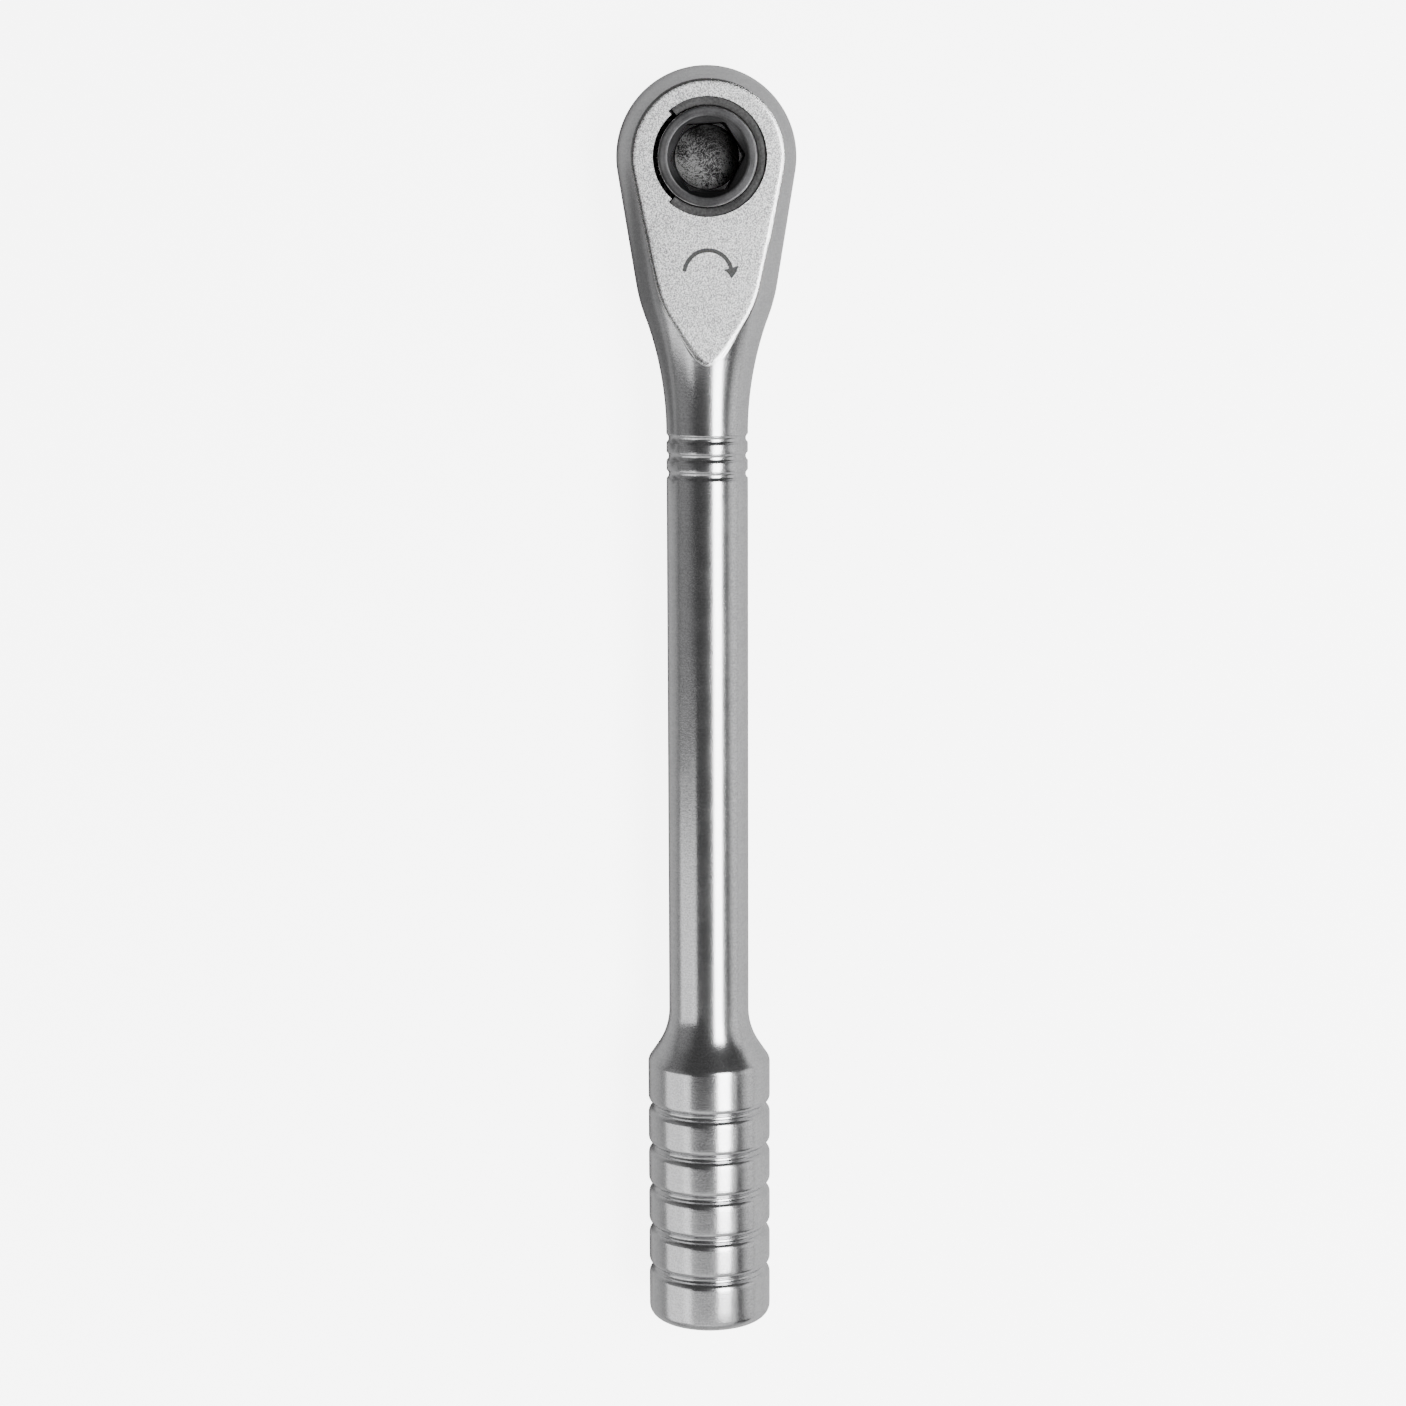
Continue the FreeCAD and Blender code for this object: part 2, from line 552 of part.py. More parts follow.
def make_pawl_spring():
    coil_radius = "(spring_bore - coil_gap - wire_radius)"
    room = "(spring_depth + pawl_travel + pawl_rest_gap + seat_depth)"
    helix = doc.addObject("Part::Helix", "spring_path")
    helix.setExpression("Radius", cell(coil_radius))
    helix.setExpression("Height", cell("%s - 4 * wire_radius" % room))
    helix.setExpression("Pitch", cell("(%s - 4 * wire_radius) / coil_turns" % room))
    wire = doc.addObject("Part::Circle", "spring_wire")
    wire.setExpression("Radius", cell("wire_radius"))
    wire.Placement = FreeCAD.Placement(vec(1, 0), FreeCAD.Rotation(vec(1, 0, 0), 90))
    wire.setExpression(".Placement.Base.x", cell(coil_radius))
    spring = doc.addObject("Part::Sweep", "pawl_spring")
    spring.Label = "pawl_spring"
    spring.Sections = [wire]
    spring.Spine = (helix, [])
    spring.Solid = True
    spring.Frenet = True
    spring.Placement = FreeCAD.Placement(vec(1, 0), FreeCAD.Rotation(vec(0, 1, 0), 90))
    spring.setExpression(".Placement.Base.x", cell("%s - seat_depth + 2 * wire_radius" % PAWL_BACK))
    doc.recompute()
    return spring


pieces = [make() for make in (make_wrench_body, make_drive_gear, make_retaining_ring,
                              make_bit_magnet, make_pawl, make_pawl_spring)]
doc.recompute()

# Nothing is written unless every object is sound and every piece is one closed solid.
for item in doc.Objects:
    if "Invalid" in item.State or "Error" in item.State:
        raise RuntimeError("%s failed: %s" % (item.Name, item.State))
for piece in pieces:
    if piece.Shape.isNull() or not piece.Shape.isValid() or len(piece.Shape.Solids) != 1:
        raise RuntimeError("%s is not one valid solid" % piece.Label)

os.makedirs("parts", exist_ok=True)
for piece in pieces:
    piece.Shape.exportStep("parts/%s.step" % piece.Label)
    print("%-16s %10.3f mm3" % (piece.Label, piece.Shape.Volume))
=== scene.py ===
"""A bit ratchet: a one-piece turned and milled steel handle with a toothed socket gear in its
head. +X runs from the gear to the butt, +Z out of the front face. All sizes are in metres."""
import math

import bmesh
import bpy
from mathutils import Matrix, Vector


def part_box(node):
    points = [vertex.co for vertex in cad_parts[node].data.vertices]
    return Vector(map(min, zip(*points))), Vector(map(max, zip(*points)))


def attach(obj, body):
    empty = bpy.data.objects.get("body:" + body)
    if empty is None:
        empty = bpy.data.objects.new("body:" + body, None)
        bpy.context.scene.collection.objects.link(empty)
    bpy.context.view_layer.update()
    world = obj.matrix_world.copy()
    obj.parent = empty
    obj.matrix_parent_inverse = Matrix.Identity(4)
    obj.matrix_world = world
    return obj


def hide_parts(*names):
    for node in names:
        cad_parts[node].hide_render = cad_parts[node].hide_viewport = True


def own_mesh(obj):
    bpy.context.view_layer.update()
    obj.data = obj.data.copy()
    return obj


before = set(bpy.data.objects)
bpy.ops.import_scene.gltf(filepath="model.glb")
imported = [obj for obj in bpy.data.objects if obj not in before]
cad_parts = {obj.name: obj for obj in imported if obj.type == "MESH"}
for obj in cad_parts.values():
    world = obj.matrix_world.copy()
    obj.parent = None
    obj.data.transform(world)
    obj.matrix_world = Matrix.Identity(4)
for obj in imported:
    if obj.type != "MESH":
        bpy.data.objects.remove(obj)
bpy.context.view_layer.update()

MM = 0.001


# ==== wrench_body ==========================================================================
# The handle and head in one bar of chrome-vanadium steel. It is turned to its outline, milled
# flat front and back, satin chrome plated, and bead blasted on the two flats.
HEAD, SHAFT, GRIP = 8.8, 4.05, 6.225    # turned radii, in millimetres
BALL = HEAD * MM
FLAT = 4.85 * MM                   # each flat from the middle plane
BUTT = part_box("wrench_body")[1].x
EDGE_ROLL = 0.5 * MM               # how far in from its edge a blasted flat begins to roll off
EDGE_DROP = 0.09 * MM              # how far it has dropped at the edge
EDGE_ROWS = 7
BALL_STEPS = 96
BAND_STEPS = 64
# the fine rings round the neck and the grooves in the grip, in millimetres
FINE_FIRST, FINE_PITCH, FINE_COUNT = 27.36, 1.77, 3
FINE_DEPTH, FINE_EDGE, FINE_FLOOR = 0.22, 0.2, 0.5
GROOVE_FIRST, GROOVE_PITCH, GROOVE_COUNT = 95.55, 4.3, 5
GROOVE_DEPTH, GROOVE_EDGE, GROOVE_FLOOR = 0.55, 0.7, 0.35


def arc_through(centre, radius, start, end, steps):
    """Points on an arc, from start degrees to end degrees, in millimetres."""
    turns = [math.radians(start + (end - start) * i / steps) for i in range(steps + 1)]
    return [(centre[0] + radius * math.cos(t), centre[1] + radius * math.sin(t)) for t in turns]


def straight(start, end, step):
    """Points along a line, about one step apart, without its two ends."""
    count = max(int(math.dist(start, end) / step), 1)
    return [tuple(a + (b - a) * i / count for a, b in zip(start, end)) for i in range(1, count)]


def groove_offsets(edge, floor, depth):
    """Distances along the axis, from a groove's middle, at which its round edges need a ring."""
    lean = math.acos(1 - depth / (edge + floor))
    half = (edge + floor) * math.sin(lean)
    inner = [floor * math.sin(lean * i / 7) for i in range(8)]
    outer = [half - edge * math.sin(lean * i / 10) for i in range(10, -1, -1)]
    return sorted({round(s * v, 6) for v in inner + outer for s in (-1, 1)})


def handle_outline():
    """(x, radius) in millimetres from the ball's widest part to the middle of the butt."""
    taper, slope, shaft_line = 80.8, 70.7, 270      # directions out of each stretch, in degrees
    head_end, neck_start, hollow_start = (12.2, 6.939), (15.101, 6.203), (15.950, 5.906)
    neck_end, flare_start, flare_end = (26.86, SHAFT), (85.5, SHAFT), (90.565, 6.057)
    points = arc_through((0, 0), HEAD, 90, taper, 5)
    points += straight(points[-1], head_end, 0.35) + [head_end]
    points += arc_through((9.482, -9.842), 17.0, taper, slope, 8)[1:-1] + [neck_start]
    points += straight(neck_start, hollow_start, 0.3)
    points += arc_through((26.86, 37.30), 33.25, 250.85, shaft_line, 40)[:-1] + [neck_end]
    section = [0.55 * math.sin(math.radians(a)) for a in range(-54, 55, 6)]
    for index in range(FINE_COUNT):
        points += [(FINE_FIRST + FINE_PITCH * index + step, SHAFT) for step in section]
    points += [(x, SHAFT) for x in (31.8, 32.4, 33.2, 34.2)]
    points += straight((35.0, SHAFT), flare_start, 1.0) + [flare_start]
    points += arc_through((85.5, 10.85), 6.8, shaft_line, 303.7, 14)[1:]
    points += straight(points[-1], flare_end, 0.3)
    points += arc_through((91.12, GRIP - 1.0), 1.0, 123.7, 90, 7)
    for index in range(GROOVE_COUNT):
        middle = GROOVE_FIRST + GROOVE_PITCH * index
        points += [(middle - d, GRIP) for d in (1.6, 1.2)]
        points += [(middle + d, GRIP) for d in groove_offsets(GROOVE_EDGE, GROOVE_FLOOR, GROOVE_DEPTH)]
        points += [(middle + d, GRIP) for d in (1.2, 1.6)]
    points += [(x, GRIP) for x in (114.9, 115.9)]
    points += arc_through((117.0, 5.025), 1.2, 90, 0, 10)
    points += [(118.2, r) for r in (4.6, 3.4, 2.2, 1.0)]
    return points


def head_column(place, radius, across):
    """One strip of the head, from the front flat's edge to the rear flat's edge.

    place is where it stands on the head's middle plane, and across a unit vector out of it.
    """
    half = math.sqrt(max(radius ** 2 - FLAT ** 2, 0.0))
    roll = min(EDGE_ROLL, 0.45 * half)
    drop = EDGE_DROP * roll / EDGE_ROLL
    edge = []
    for row in range(EDGE_ROWS):
        share = row / (EDGE_ROWS - 0.4)
        height = FLAT - drop * share ** 2.6
        edge.append(place + across * (half - roll + roll * share) + Vector((0, 0, height)))
    lean = math.asin(min((FLAT - drop * 1.25) / radius, 1.0))
    points = []
    for step in range(BAND_STEPS + 1):
        angle = lean - 2 * lean * step / BAND_STEPS
        lift = Vector((0, 0, radius * math.sin(angle)))
        points.append(place + across * (radius * math.cos(angle)) + lift)
    under = [Vector((p.x, p.y, -p.z)) for p in reversed(edge)]
    return edge + points + under


def turned_blank():
    """The handle as one closed skin: milled head strips, then rings along the axis."""
    profile = [(x * MM, r * MM) for x, r in handle_outline()]
    tip = next(i for i, (x, r) in enumerate(profile) if r < FLAT * 1.0005)
    mesh = bmesh.new()
    columns = []
    side = list(profile[1:tip])
    # extra stations where the flat closes to its point
    last_x, last_r = profile[tip - 1]
    tip_x = last_x + (profile[tip][0] - last_x) * (last_r - FLAT) / (last_r - profile[tip][1])
    for share in (0.3, 0.55, 0.75, 0.9, 0.97):
        x = last_x + (tip_x - last_x) * share
        side.append((x, last_r + (FLAT - last_r) * share))
    for x, r in reversed(side):
        columns.append(head_column(Vector((x, 0, 0)), r, Vector((0, 1, 0))))
    for step in range(BALL_STEPS + 1):
        turn = math.pi / 2 + math.pi * step / BALL_STEPS
        outwards = Vector((math.cos(turn), math.sin(turn), 0))
        columns.append(head_column(Vector((0, 0, 0)), BALL, outwards))
    for x, r in side:
        columns.append(head_column(Vector((x, 0, 0)), r, Vector((0, -1, 0))))
    grid = [[mesh.verts.new(p) for p in column] for column in columns]
    for left, right in zip(grid, grid[1:]):
        for a, b, c, d in zip(left, right, right[1:], left[1:]):
            mesh.faces.new((a, b, c, d))
    # the ring where the flats have closed, then plain turned rings to the butt
    count = 2 * BAND_STEPS
    previous = None
    for x, r in [(tip_x, FLAT)] + profile[tip:]:
        ring = []
        for step in range(count):
            angle = math.pi / 2 - 2 * math.pi * step / count
            ring.append(mesh.verts.new((x, r * math.cos(angle), r * math.sin(angle))))
        if previous:
            for i in range(count):
                j = (i + 1) % count
                mesh.faces.new((previous[i], ring[i], ring[j], previous[j]))
        else:
            first_ring = ring
        previous = ring
    middle = mesh.verts.new((BUTT, 0, 0))
    for i in range(count):
        mesh.faces.new((previous[i], middle, previous[(i + 1) % count]))
    # joins the head strips to the first full ring, down the +Y side and then the -Y side
    for column, side_of in ((grid[0], 1), (grid[-1], -1)):
        band = column[EDGE_ROWS:len(column) - EDGE_ROWS]
        for step in range(BAND_STEPS):
            a, b = band[step], band[step + 1]
            c = first_ring[(side_of * (step + 1)) % count]
            d = first_ring[(side_of * step) % count]
            mesh.faces.new((a, b, c, d))
        for row, end in ((column[:EDGE_ROWS + 1], 0), (column[-EDGE_ROWS - 1:], BAND_STEPS)):
            point = first_ring[(side_of * end) % count]
            for a, b in zip(row, row[1:]):
                mesh.faces.new((a, b, point))
    for row in (0, -1):
        loop = [column[row] for column in grid]
        tip_vertex = first_ring[0] if row == 0 else first_ring[BAND_STEPS]
        mesh.faces.new(loop + [tip_vertex])
    bmesh.ops.recalc_face_normals(mesh, faces=mesh.faces)
    return mesh


def as_object(name, mesh):
    """A bmesh as an object at the origin, with smooth faces."""
    data = bpy.data.meshes.new(name)
    mesh.to_mesh(data)
    mesh.free()
    for face in data.polygons:
        face.use_smooth = True
    made = bpy.data.objects.new(name, data)
    bpy.context.scene.collection.objects.link(made)
    return made


def revolved(outline, steps, start=0.0, end=360.0):
    """A closed outline of (radius, z) turned about the Z axis, in metres and degrees."""
    mesh = bmesh.new()
    full = end - start >= 360.0
    count = steps if full else steps + 1
    rings = []
    for step in range(count):
        turn = math.radians(start + (end - start) * step / steps)
        across, up = math.cos(turn), math.sin(turn)
        rings.append([mesh.verts.new((r * across, r * up, z)) for r, z in outline])
    pairs = list(zip(rings, rings[1:])) + ([(rings[-1], rings[0])] if full else [])
    corners = len(outline)
    for left, right in pairs:
        for i in range(corners):
            j = (i + 1) % corners
            mesh.faces.new((left[i], right[i], right[j], left[j]))
    if not full:
        mesh.faces.new(rings[0])
        mesh.faces.new(reversed(rings[-1]))
    bmesh.ops.remove_doubles(mesh, verts=mesh.verts, dist=1e-8)
    bmesh.ops.recalc_face_normals(mesh, faces=mesh.faces)
    return mesh


def extruded(corners, low, high, along="z"):
    """A closed outline pushed from low to high along one axis."""
    mesh = bmesh.new()
    layers = []
    for level in (low, high):
        places = [(a, b, level) if along == "z" else (level, a, b) for a, b in corners]
        layers.append([mesh.verts.new(place) for place in places])
    for i in range(len(corners)):
        j = (i + 1) % len(corners)
        mesh.faces.new((layers[0][i], layers[0][j], layers[1][j], layers[1][i]))
    mesh.faces.new(reversed(layers[0]))
    mesh.faces.new(layers[1])
    bmesh.ops.recalc_face_normals(mesh, faces=mesh.faces)
    return mesh


def cut(piece, cutter):
    """Takes one closed shape out of another, and removes the cutter."""
    step = piece.modifiers.new("cut", "BOOLEAN")
    step.operation = "DIFFERENCE"
    step.solver = "EXACT"
    step.object = cutter
    settle(piece)
    bpy.data.objects.remove(cutter)


def settle(piece):
    """Turns what the modifiers make into the piece's own plain mesh."""
    graph = bpy.context.evaluated_depsgraph_get()
    solid = bpy.data.meshes.new_from_object(piece.evaluated_get(graph))
    piece.modifiers.clear()
    piece.data = solid


wrench_body = as_object("wrench_body_shown", turned_blank())


def new_tree(name, kind):
    """An empty node tree, with a geometry input and output when it makes a mesh."""
    tree = bpy.data.node_groups.new(name, kind)
    if kind == "GeometryNodeTree":
        tree.interface.new_socket("Geometry", in_out="INPUT", socket_type="NodeSocketGeometry")
        tree.interface.new_socket("Geometry", in_out="OUTPUT", socket_type="NodeSocketGeometry")
    return tree


def inputs_for(tree, **kinds):
    """Adds named inputs to a tree and gives its input sockets."""
    for name, kind in kinds.items():
        socket_type = "NodeSocket" + kind
        tree.interface.new_socket(name.replace("_", " "), in_out="INPUT", socket_type=socket_type)
    return tree.nodes.new("NodeGroupInput").outputs


def add(tree, kind, inputs=(), **settings):
    """One node. Its inputs, by name or number, take values or other nodes' sockets."""
    made = tree.nodes.new(kind)
    for name, value in settings.items():
        setattr(made, name, value)
    for key, value in dict(inputs).items():
        if isinstance(value, bpy.types.NodeSocket):
            tree.links.new(value, made.inputs[key])
        else:
            made.inputs[key].default_value = value
    return made


def maths(tree, operation, *values):
    """One sum on sockets or numbers, giving the socket that holds the answer."""
    return add(tree, "ShaderNodeMath", enumerate(values), operation=operation).outputs[0]


def finish_tree(tree, shape, material):
    """Ends a geometry tree with real faces that carry their material."""
    real = add(tree, "GeometryNodeRealizeInstances", {"Geometry": shape})
    joined = add(tree, "GeometryNodeMergeByDistance", {"Geometry": real.outputs[0], "Distance": 2e-8})
    painted = add(tree, "GeometryNodeSetMaterial", {"Geometry": joined.outputs[0], "Material": material})
    tree.links.new(painted.outputs[0], tree.nodes.new("NodeGroupOutput").inputs[0])


def run_tree(piece, tree, **values):
    """Runs a geometry tree on a piece, its inputs set by name, and keeps the plain mesh."""
    step = piece.modifiers.new(tree.name, "NODES")
    step.node_group = tree
    for socket in tree.interface.items_tree:
        name = socket.name.replace(" ", "_")
        if socket.in_out == "INPUT" and name in values:
            step[socket.identifier] = values[name]
    settle(piece)


def even_shading(piece, sharp=35.0):
    """Keeps flat faces flat beside small round edges, and edges past an angle crisp."""
    piece.data.set_sharp_from_angle(angle=math.radians(sharp))
    step = piece.modifiers.new("even_shading", "WEIGHTED_NORMAL")
    step.keep_sharp = True
    settle(piece)


def turning_tree():
    """Moves the bar's skin inwards wherever one of a row of round grooves is turned into it."""
    tree = new_tree("turned_grooves", "GeometryNodeTree")
    given = inputs_for(tree, First="Float", Pitch="Float", Count="Int", Depth="Float",
                       Edge_Radius="Float", Floor_Radius="Float", Material="Material")
    place = add(tree, "GeometryNodeInputPosition").outputs[0]
    parts = add(tree, "ShaderNodeSeparateXYZ", {0: place}).outputs
    steps = maths(tree, "DIVIDE", maths(tree, "SUBTRACT", parts[0], given["First"]), given["Pitch"])
    last = maths(tree, "SUBTRACT", given["Count"], 1.0)
    nearest = maths(tree, "MINIMUM", maths(tree, "MAXIMUM", maths(tree, "ROUND", steps), 0.0), last)
    beside = maths(tree, "MULTIPLY", maths(tree, "SUBTRACT", steps, nearest), given["Pitch"])
    off = maths(tree, "ABSOLUTE", beside)
    both = maths(tree, "ADD", given["Edge Radius"], given["Floor Radius"])
    drop = maths(tree, "SUBTRACT", 1.0, maths(tree, "DIVIDE", given["Depth"], both))
    lean = maths(tree, "SINE", maths(tree, "ARCCOSINE", drop))
    from_edge = maths(tree, "SUBTRACT", maths(tree, "MULTIPLY", both, lean), off)
    in_floor = maths(tree, "LESS_THAN", off, maths(tree, "MULTIPLY", given["Floor Radius"], lean))

    def sag(radius, distance):
        across = maths(tree, "MULTIPLY", distance, distance)
        left = maths(tree, "SUBTRACT", maths(tree, "MULTIPLY", radius, radius), across)
        height = maths(tree, "SQRT", maths(tree, "MAXIMUM", left, 0.0))
        return maths(tree, "SUBTRACT", radius, height)

    floor_level = maths(tree, "SUBTRACT", given["Depth"], sag(given["Floor Radius"], off))
    edge_level = sag(given["Edge Radius"], maths(tree, "MAXIMUM", from_edge, 0.0))
    level = add(tree, "ShaderNodeMix", {0: in_floor, 2: edge_level, 3: floor_level}).outputs[0]
    sideways = add(tree, "ShaderNodeCombineXYZ", {1: parts[1], 2: parts[2]}).outputs[0]
    outward = add(tree, "ShaderNodeVectorMath", {0: sideways}, operation="NORMALIZE").outputs[0]
    move = add(tree, "ShaderNodeVectorMath", {0: outward, "Scale": maths(tree, "MULTIPLY", level, -1.0)},
               operation="SCALE").outputs[0]
    cut_in = add(tree, "GeometryNodeSetPosition", {"Geometry": given["Geometry"], "Offset": move})
    finish_tree(tree, cut_in.outputs[0], given["Material"])
    return tree


def steel(name, colour, roughness):
    """A metal material, the tree it is made in and its shader."""
    made = bpy.data.materials.new(name)
    made.use_nodes = True
    shader = made.node_tree.nodes["Principled BSDF"]
    shader.inputs["Base Color"].default_value = (*colour, 1.0)
    shader.inputs["Metallic"].default_value = 1.0
    shader.inputs["Roughness"].default_value = roughness
    return made, made.node_tree, shader


def spot(tree):
    """The place on a piece, as a vector and as its three coordinates."""
    place = add(tree, "ShaderNodeTexCoord").outputs["Object"]
    return place, *add(tree, "ShaderNodeSeparateXYZ", {0: place}).outputs


def times(tree, first, second):
    """Two values multiplied."""
    return maths(tree, "MULTIPLY", first, second)


def from_axis(tree, a, b):
    """The distance from an axis, from the two coordinates across it."""
    return maths(tree, "SQRT", maths(tree, "ADD", times(tree, a, a), times(tree, b, b)))


def between(tree, value, low, high, to_low=0.0, to_high=1.0):
    """A value eased from one range to another, held at both ends."""
    return add(tree, "ShaderNodeMapRange", {0: value, 1: low, 2: high, 3: to_low, 4: to_high},
               interpolation_type="SMOOTHSTEP").outputs[0]


def mixed(tree, share, first, second):
    """Two colours or sockets mixed by a share."""
    return add(tree, "ShaderNodeMix", {0: share, 6: first, 7: second}, data_type="RGBA").outputs[2]


def grain_group():
    """Metal grain: fine specks, longer drawn streaks, and slow patches of handling."""
    tree = new_tree("metal_grain", "ShaderNodeTree")
    for name, kind in (("Tone", "Float"), ("Height", "Float"), ("Patches", "Float")):
        tree.interface.new_socket(name, in_out="OUTPUT", socket_type="NodeSocket" + kind)
    given = inputs_for(tree, Place="Vector", Streaks="Vector", Speck_Scale="Float", Streak_Share="Float",
                       Patch_Scale="Float", Patch_Share="Float")
    speck = add(tree, "ShaderNodeTexNoise", {"Vector": given["Place"], "Scale": given["Speck Scale"],
                                            "Detail": 3.0, "Roughness": 0.65}).outputs[0]
    streak = add(tree, "ShaderNodeTexNoise", {"Vector": given["Streaks"], "Scale": 1.0,
                                             "Detail": 4.0, "Roughness": 0.6}).outputs[0]
    patch = add(tree, "ShaderNodeTexNoise", {"Vector": given["Place"], "Scale": given["Patch Scale"],
                                            "Detail": 3.0}).outputs[0]
    height = add(tree, "ShaderNodeMix", {0: given["Streak Share"], 2: speck, 3: streak}).outputs[0]
    tone = add(tree, "ShaderNodeMix", {0: given["Patch Share"], 2: height, 3: patch}).outputs[0]
    end = tree.nodes.new("NodeGroupOutput")
    for key, socket in (("Tone", tone), ("Height", height), ("Patches", patch)):
        tree.links.new(socket, end.inputs[key])
    return tree


def wear_group():
    """A worn edge: bright where the distance from the edge is small, broken up by a noise."""
    tree = new_tree("edge_wear", "ShaderNodeTree")
    tree.interface.new_socket("Mask", in_out="OUTPUT", socket_type="NodeSocketFloat")
    given = inputs_for(tree, Place="Vector", Distance="Float", Width="Float", Nick_Scale="Float")
    nicks = add(tree, "ShaderNodeTexNoise", {"Vector": given["Place"], "Scale": given["Nick Scale"],
                                            "Detail": 5.0, "Roughness": 0.7}).outputs[0]
    reach = maths(tree, "MULTIPLY", given["Width"], between(tree, nicks, 0.35, 0.7, 0.25, 1.6))
    near = maths(tree, "DIVIDE", given["Distance"], reach)
    mask = between(tree, near, 0.5, 1.0, 1.0, 0.0)
    tree.links.new(mask, tree.nodes.new("NodeGroupOutput").inputs[0])
    return tree


def grouped(tree, group, **inputs):
    """A shader node group placed in a material with its own values."""
    values = {name.replace("_", " "): value for name, value in inputs.items()}
    made = tree.nodes.new("ShaderNodeGroup")
    made.node_tree = group
    for key, value in values.items():
        if isinstance(value, bpy.types.NodeSocket):
            tree.links.new(value, made.inputs[key])
        else:
            made.inputs[key].default_value = value
    return made.outputs


def stretched(tree, place, *scale):
    """The place scaled by its own number along each axis, for a pattern with a direction."""
    return add(tree, "ShaderNodeMapping", {"Vector": place, "Scale": scale}, vector_type="POINT").outputs[0]


def grey(level, blue=0.0):
    """A grey paint colour, with a little blue in it where that is asked for."""
    return (level, level, level + blue, 1.0)


def dress(tree, shader, colour, rough, height, strength, depth):
    """Links a finished colour, roughness and bump to the shader."""
    tree.links.new(colour, shader.inputs["Base Color"])
    tree.links.new(rough, shader.inputs["Roughness"])
    bump = add(tree, "ShaderNodeBump", {"Strength": strength, "Distance": depth, "Height": height})
    tree.links.new(bump.outputs[0], shader.inputs["Normal"])


METAL_GRAIN = grain_group()
EDGE_WEAR = wear_group()
ARROW_X = 11.2 * MM                # middle of the turning arrow etched on each flat
ARROW_RADIUS = 2.3 * MM
ARROW_LINE = 0.4 * MM
ARROW_TAIL, ARROW_NECK, ARROW_TIP = 1.45, 1.3, 1.75     # radians from the ring's top
ARROW_SPREAD = 1.7 * MM            # how fast the arrow's head widens, for each radian

satin_chrome, tree, shader = steel("satin_chrome", (0.7, 0.7, 0.71), 0.22)
place, x, y, z = spot(tree)
height_z = maths(tree, "ABSOLUTE", z)
on_head = between(tree, x, 20.6 * MM, 20.9 * MM, 1.0, 0.0)
on_flat = times(tree, on_head, between(tree, height_z, FLAT - 0.104 * MM, FLAT - 0.096 * MM))
# painted shade: the bore's walls, lip and seat, within 6.15 mm of the gear's axis and below the flats, are
# painted nearly black and made a little rougher
by_bore = between(tree, from_axis(tree, x, y), 6.15 * MM, 6.2 * MM, 1.0, 0.0)
painted_bore_shade = times(tree, by_bore, between(tree, height_z, FLAT - 0.1 * MM, FLAT - 0.03 * MM, 1.0, 0.0))
satin = grouped(tree, METAL_GRAIN, Place=place, Streaks=stretched(tree, place, 9000, 700, 700),
                Speck_Scale=5200.0, Streak_Share=0.3, Patch_Scale=400.0, Patch_Share=0.1)
blast = grouped(tree, METAL_GRAIN, Place=place, Streaks=stretched(tree, place, 4200, 4200, 4200),
                Speck_Scale=8200.0, Streak_Share=0.2, Patch_Scale=700.0, Patch_Share=0.04)
from_crease = maths(tree, "ABSOLUTE", maths(tree, "SUBTRACT", FLAT - EDGE_DROP, height_z))
worn = grouped(tree, EDGE_WEAR, Place=place, Distance=from_crease, Width=0.05 * MM, Nick_Scale=900.0)["Mask"]
worn = times(tree, worn, on_head)
# the etched arrow: part of a ring, and a head at its end
arrow_x = maths(tree, "SUBTRACT", x, ARROW_X)
from_ring = maths(tree, "ABSOLUTE", maths(tree, "SUBTRACT", from_axis(tree, arrow_x, y), ARROW_RADIUS))
swing = maths(tree, "ABSOLUTE", maths(tree, "ARCTAN2", y, times(tree, arrow_x, -1.0)))
line_width = times(tree, ARROW_LINE, 0.5)
head_width = times(tree, maths(tree, "SUBTRACT", ARROW_TIP, swing), ARROW_SPREAD)
head_side = maths(tree, "GREATER_THAN", y, 0.0)
in_head = times(tree, maths(tree, "GREATER_THAN", swing, ARROW_NECK), head_side)
width_here = add(tree, "ShaderNodeMix", {0: in_head, 2: line_width, 3: head_width}).outputs[0]
swing_end = add(tree, "ShaderNodeMix", {0: head_side, 2: ARROW_TAIL, 3: ARROW_TIP}).outputs[0]
on_line = maths(tree, "LESS_THAN", from_ring, width_here)
etched = times(tree, times(tree, on_line, maths(tree, "LESS_THAN", swing, swing_end)), on_flat)
rolled = times(tree, on_flat, between(tree, height_z, FLAT - 0.04 * MM, FLAT - 0.006 * MM, 1.0, 0.0))
tone = add(tree, "ShaderNodeMix", {0: on_flat, 2: satin["Tone"], 3: blast["Tone"]}).outputs[0]
bright = between(tree, tone, 0.39, 0.61)
plated = mixed(tree, bright, grey(0.57, 0.01), grey(0.75, 0.01))
blasted = mixed(tree, bright, grey(0.22, 0.005), grey(0.98))
blasted = mixed(tree, times(tree, rolled, 0.5), blasted, grey(0.82))
colour = mixed(tree, on_flat, plated, blasted)
colour = mixed(tree, worn, colour, grey(0.88))
colour = mixed(tree, times(tree, etched, 0.95), colour, grey(0.06))
# painted shade inside the bore
colour = mixed(tree, painted_bore_shade, colour, grey(0.045))
rough_satin = between(tree, satin["Patches"], 0.3, 0.7, 0.18, 0.205)
rough_blast = between(tree, blast["Patches"], 0.3, 0.7, 0.4, 0.5)
rough = add(tree, "ShaderNodeMix", {0: on_flat, 2: rough_satin, 3: rough_blast}).outputs[0]
rough = add(tree, "ShaderNodeMix", {0: rolled, 2: rough, 3: 0.18}).outputs[0]
rough = add(tree, "ShaderNodeMix", {0: worn, 2: rough, 3: 0.17}).outputs[0]
rough = maths(tree, "ADD", rough, times(tree, maths(tree, "ADD", etched, painted_bore_shade), 0.12))
smooth_skin = times(tree, satin["Height"], 0.25)
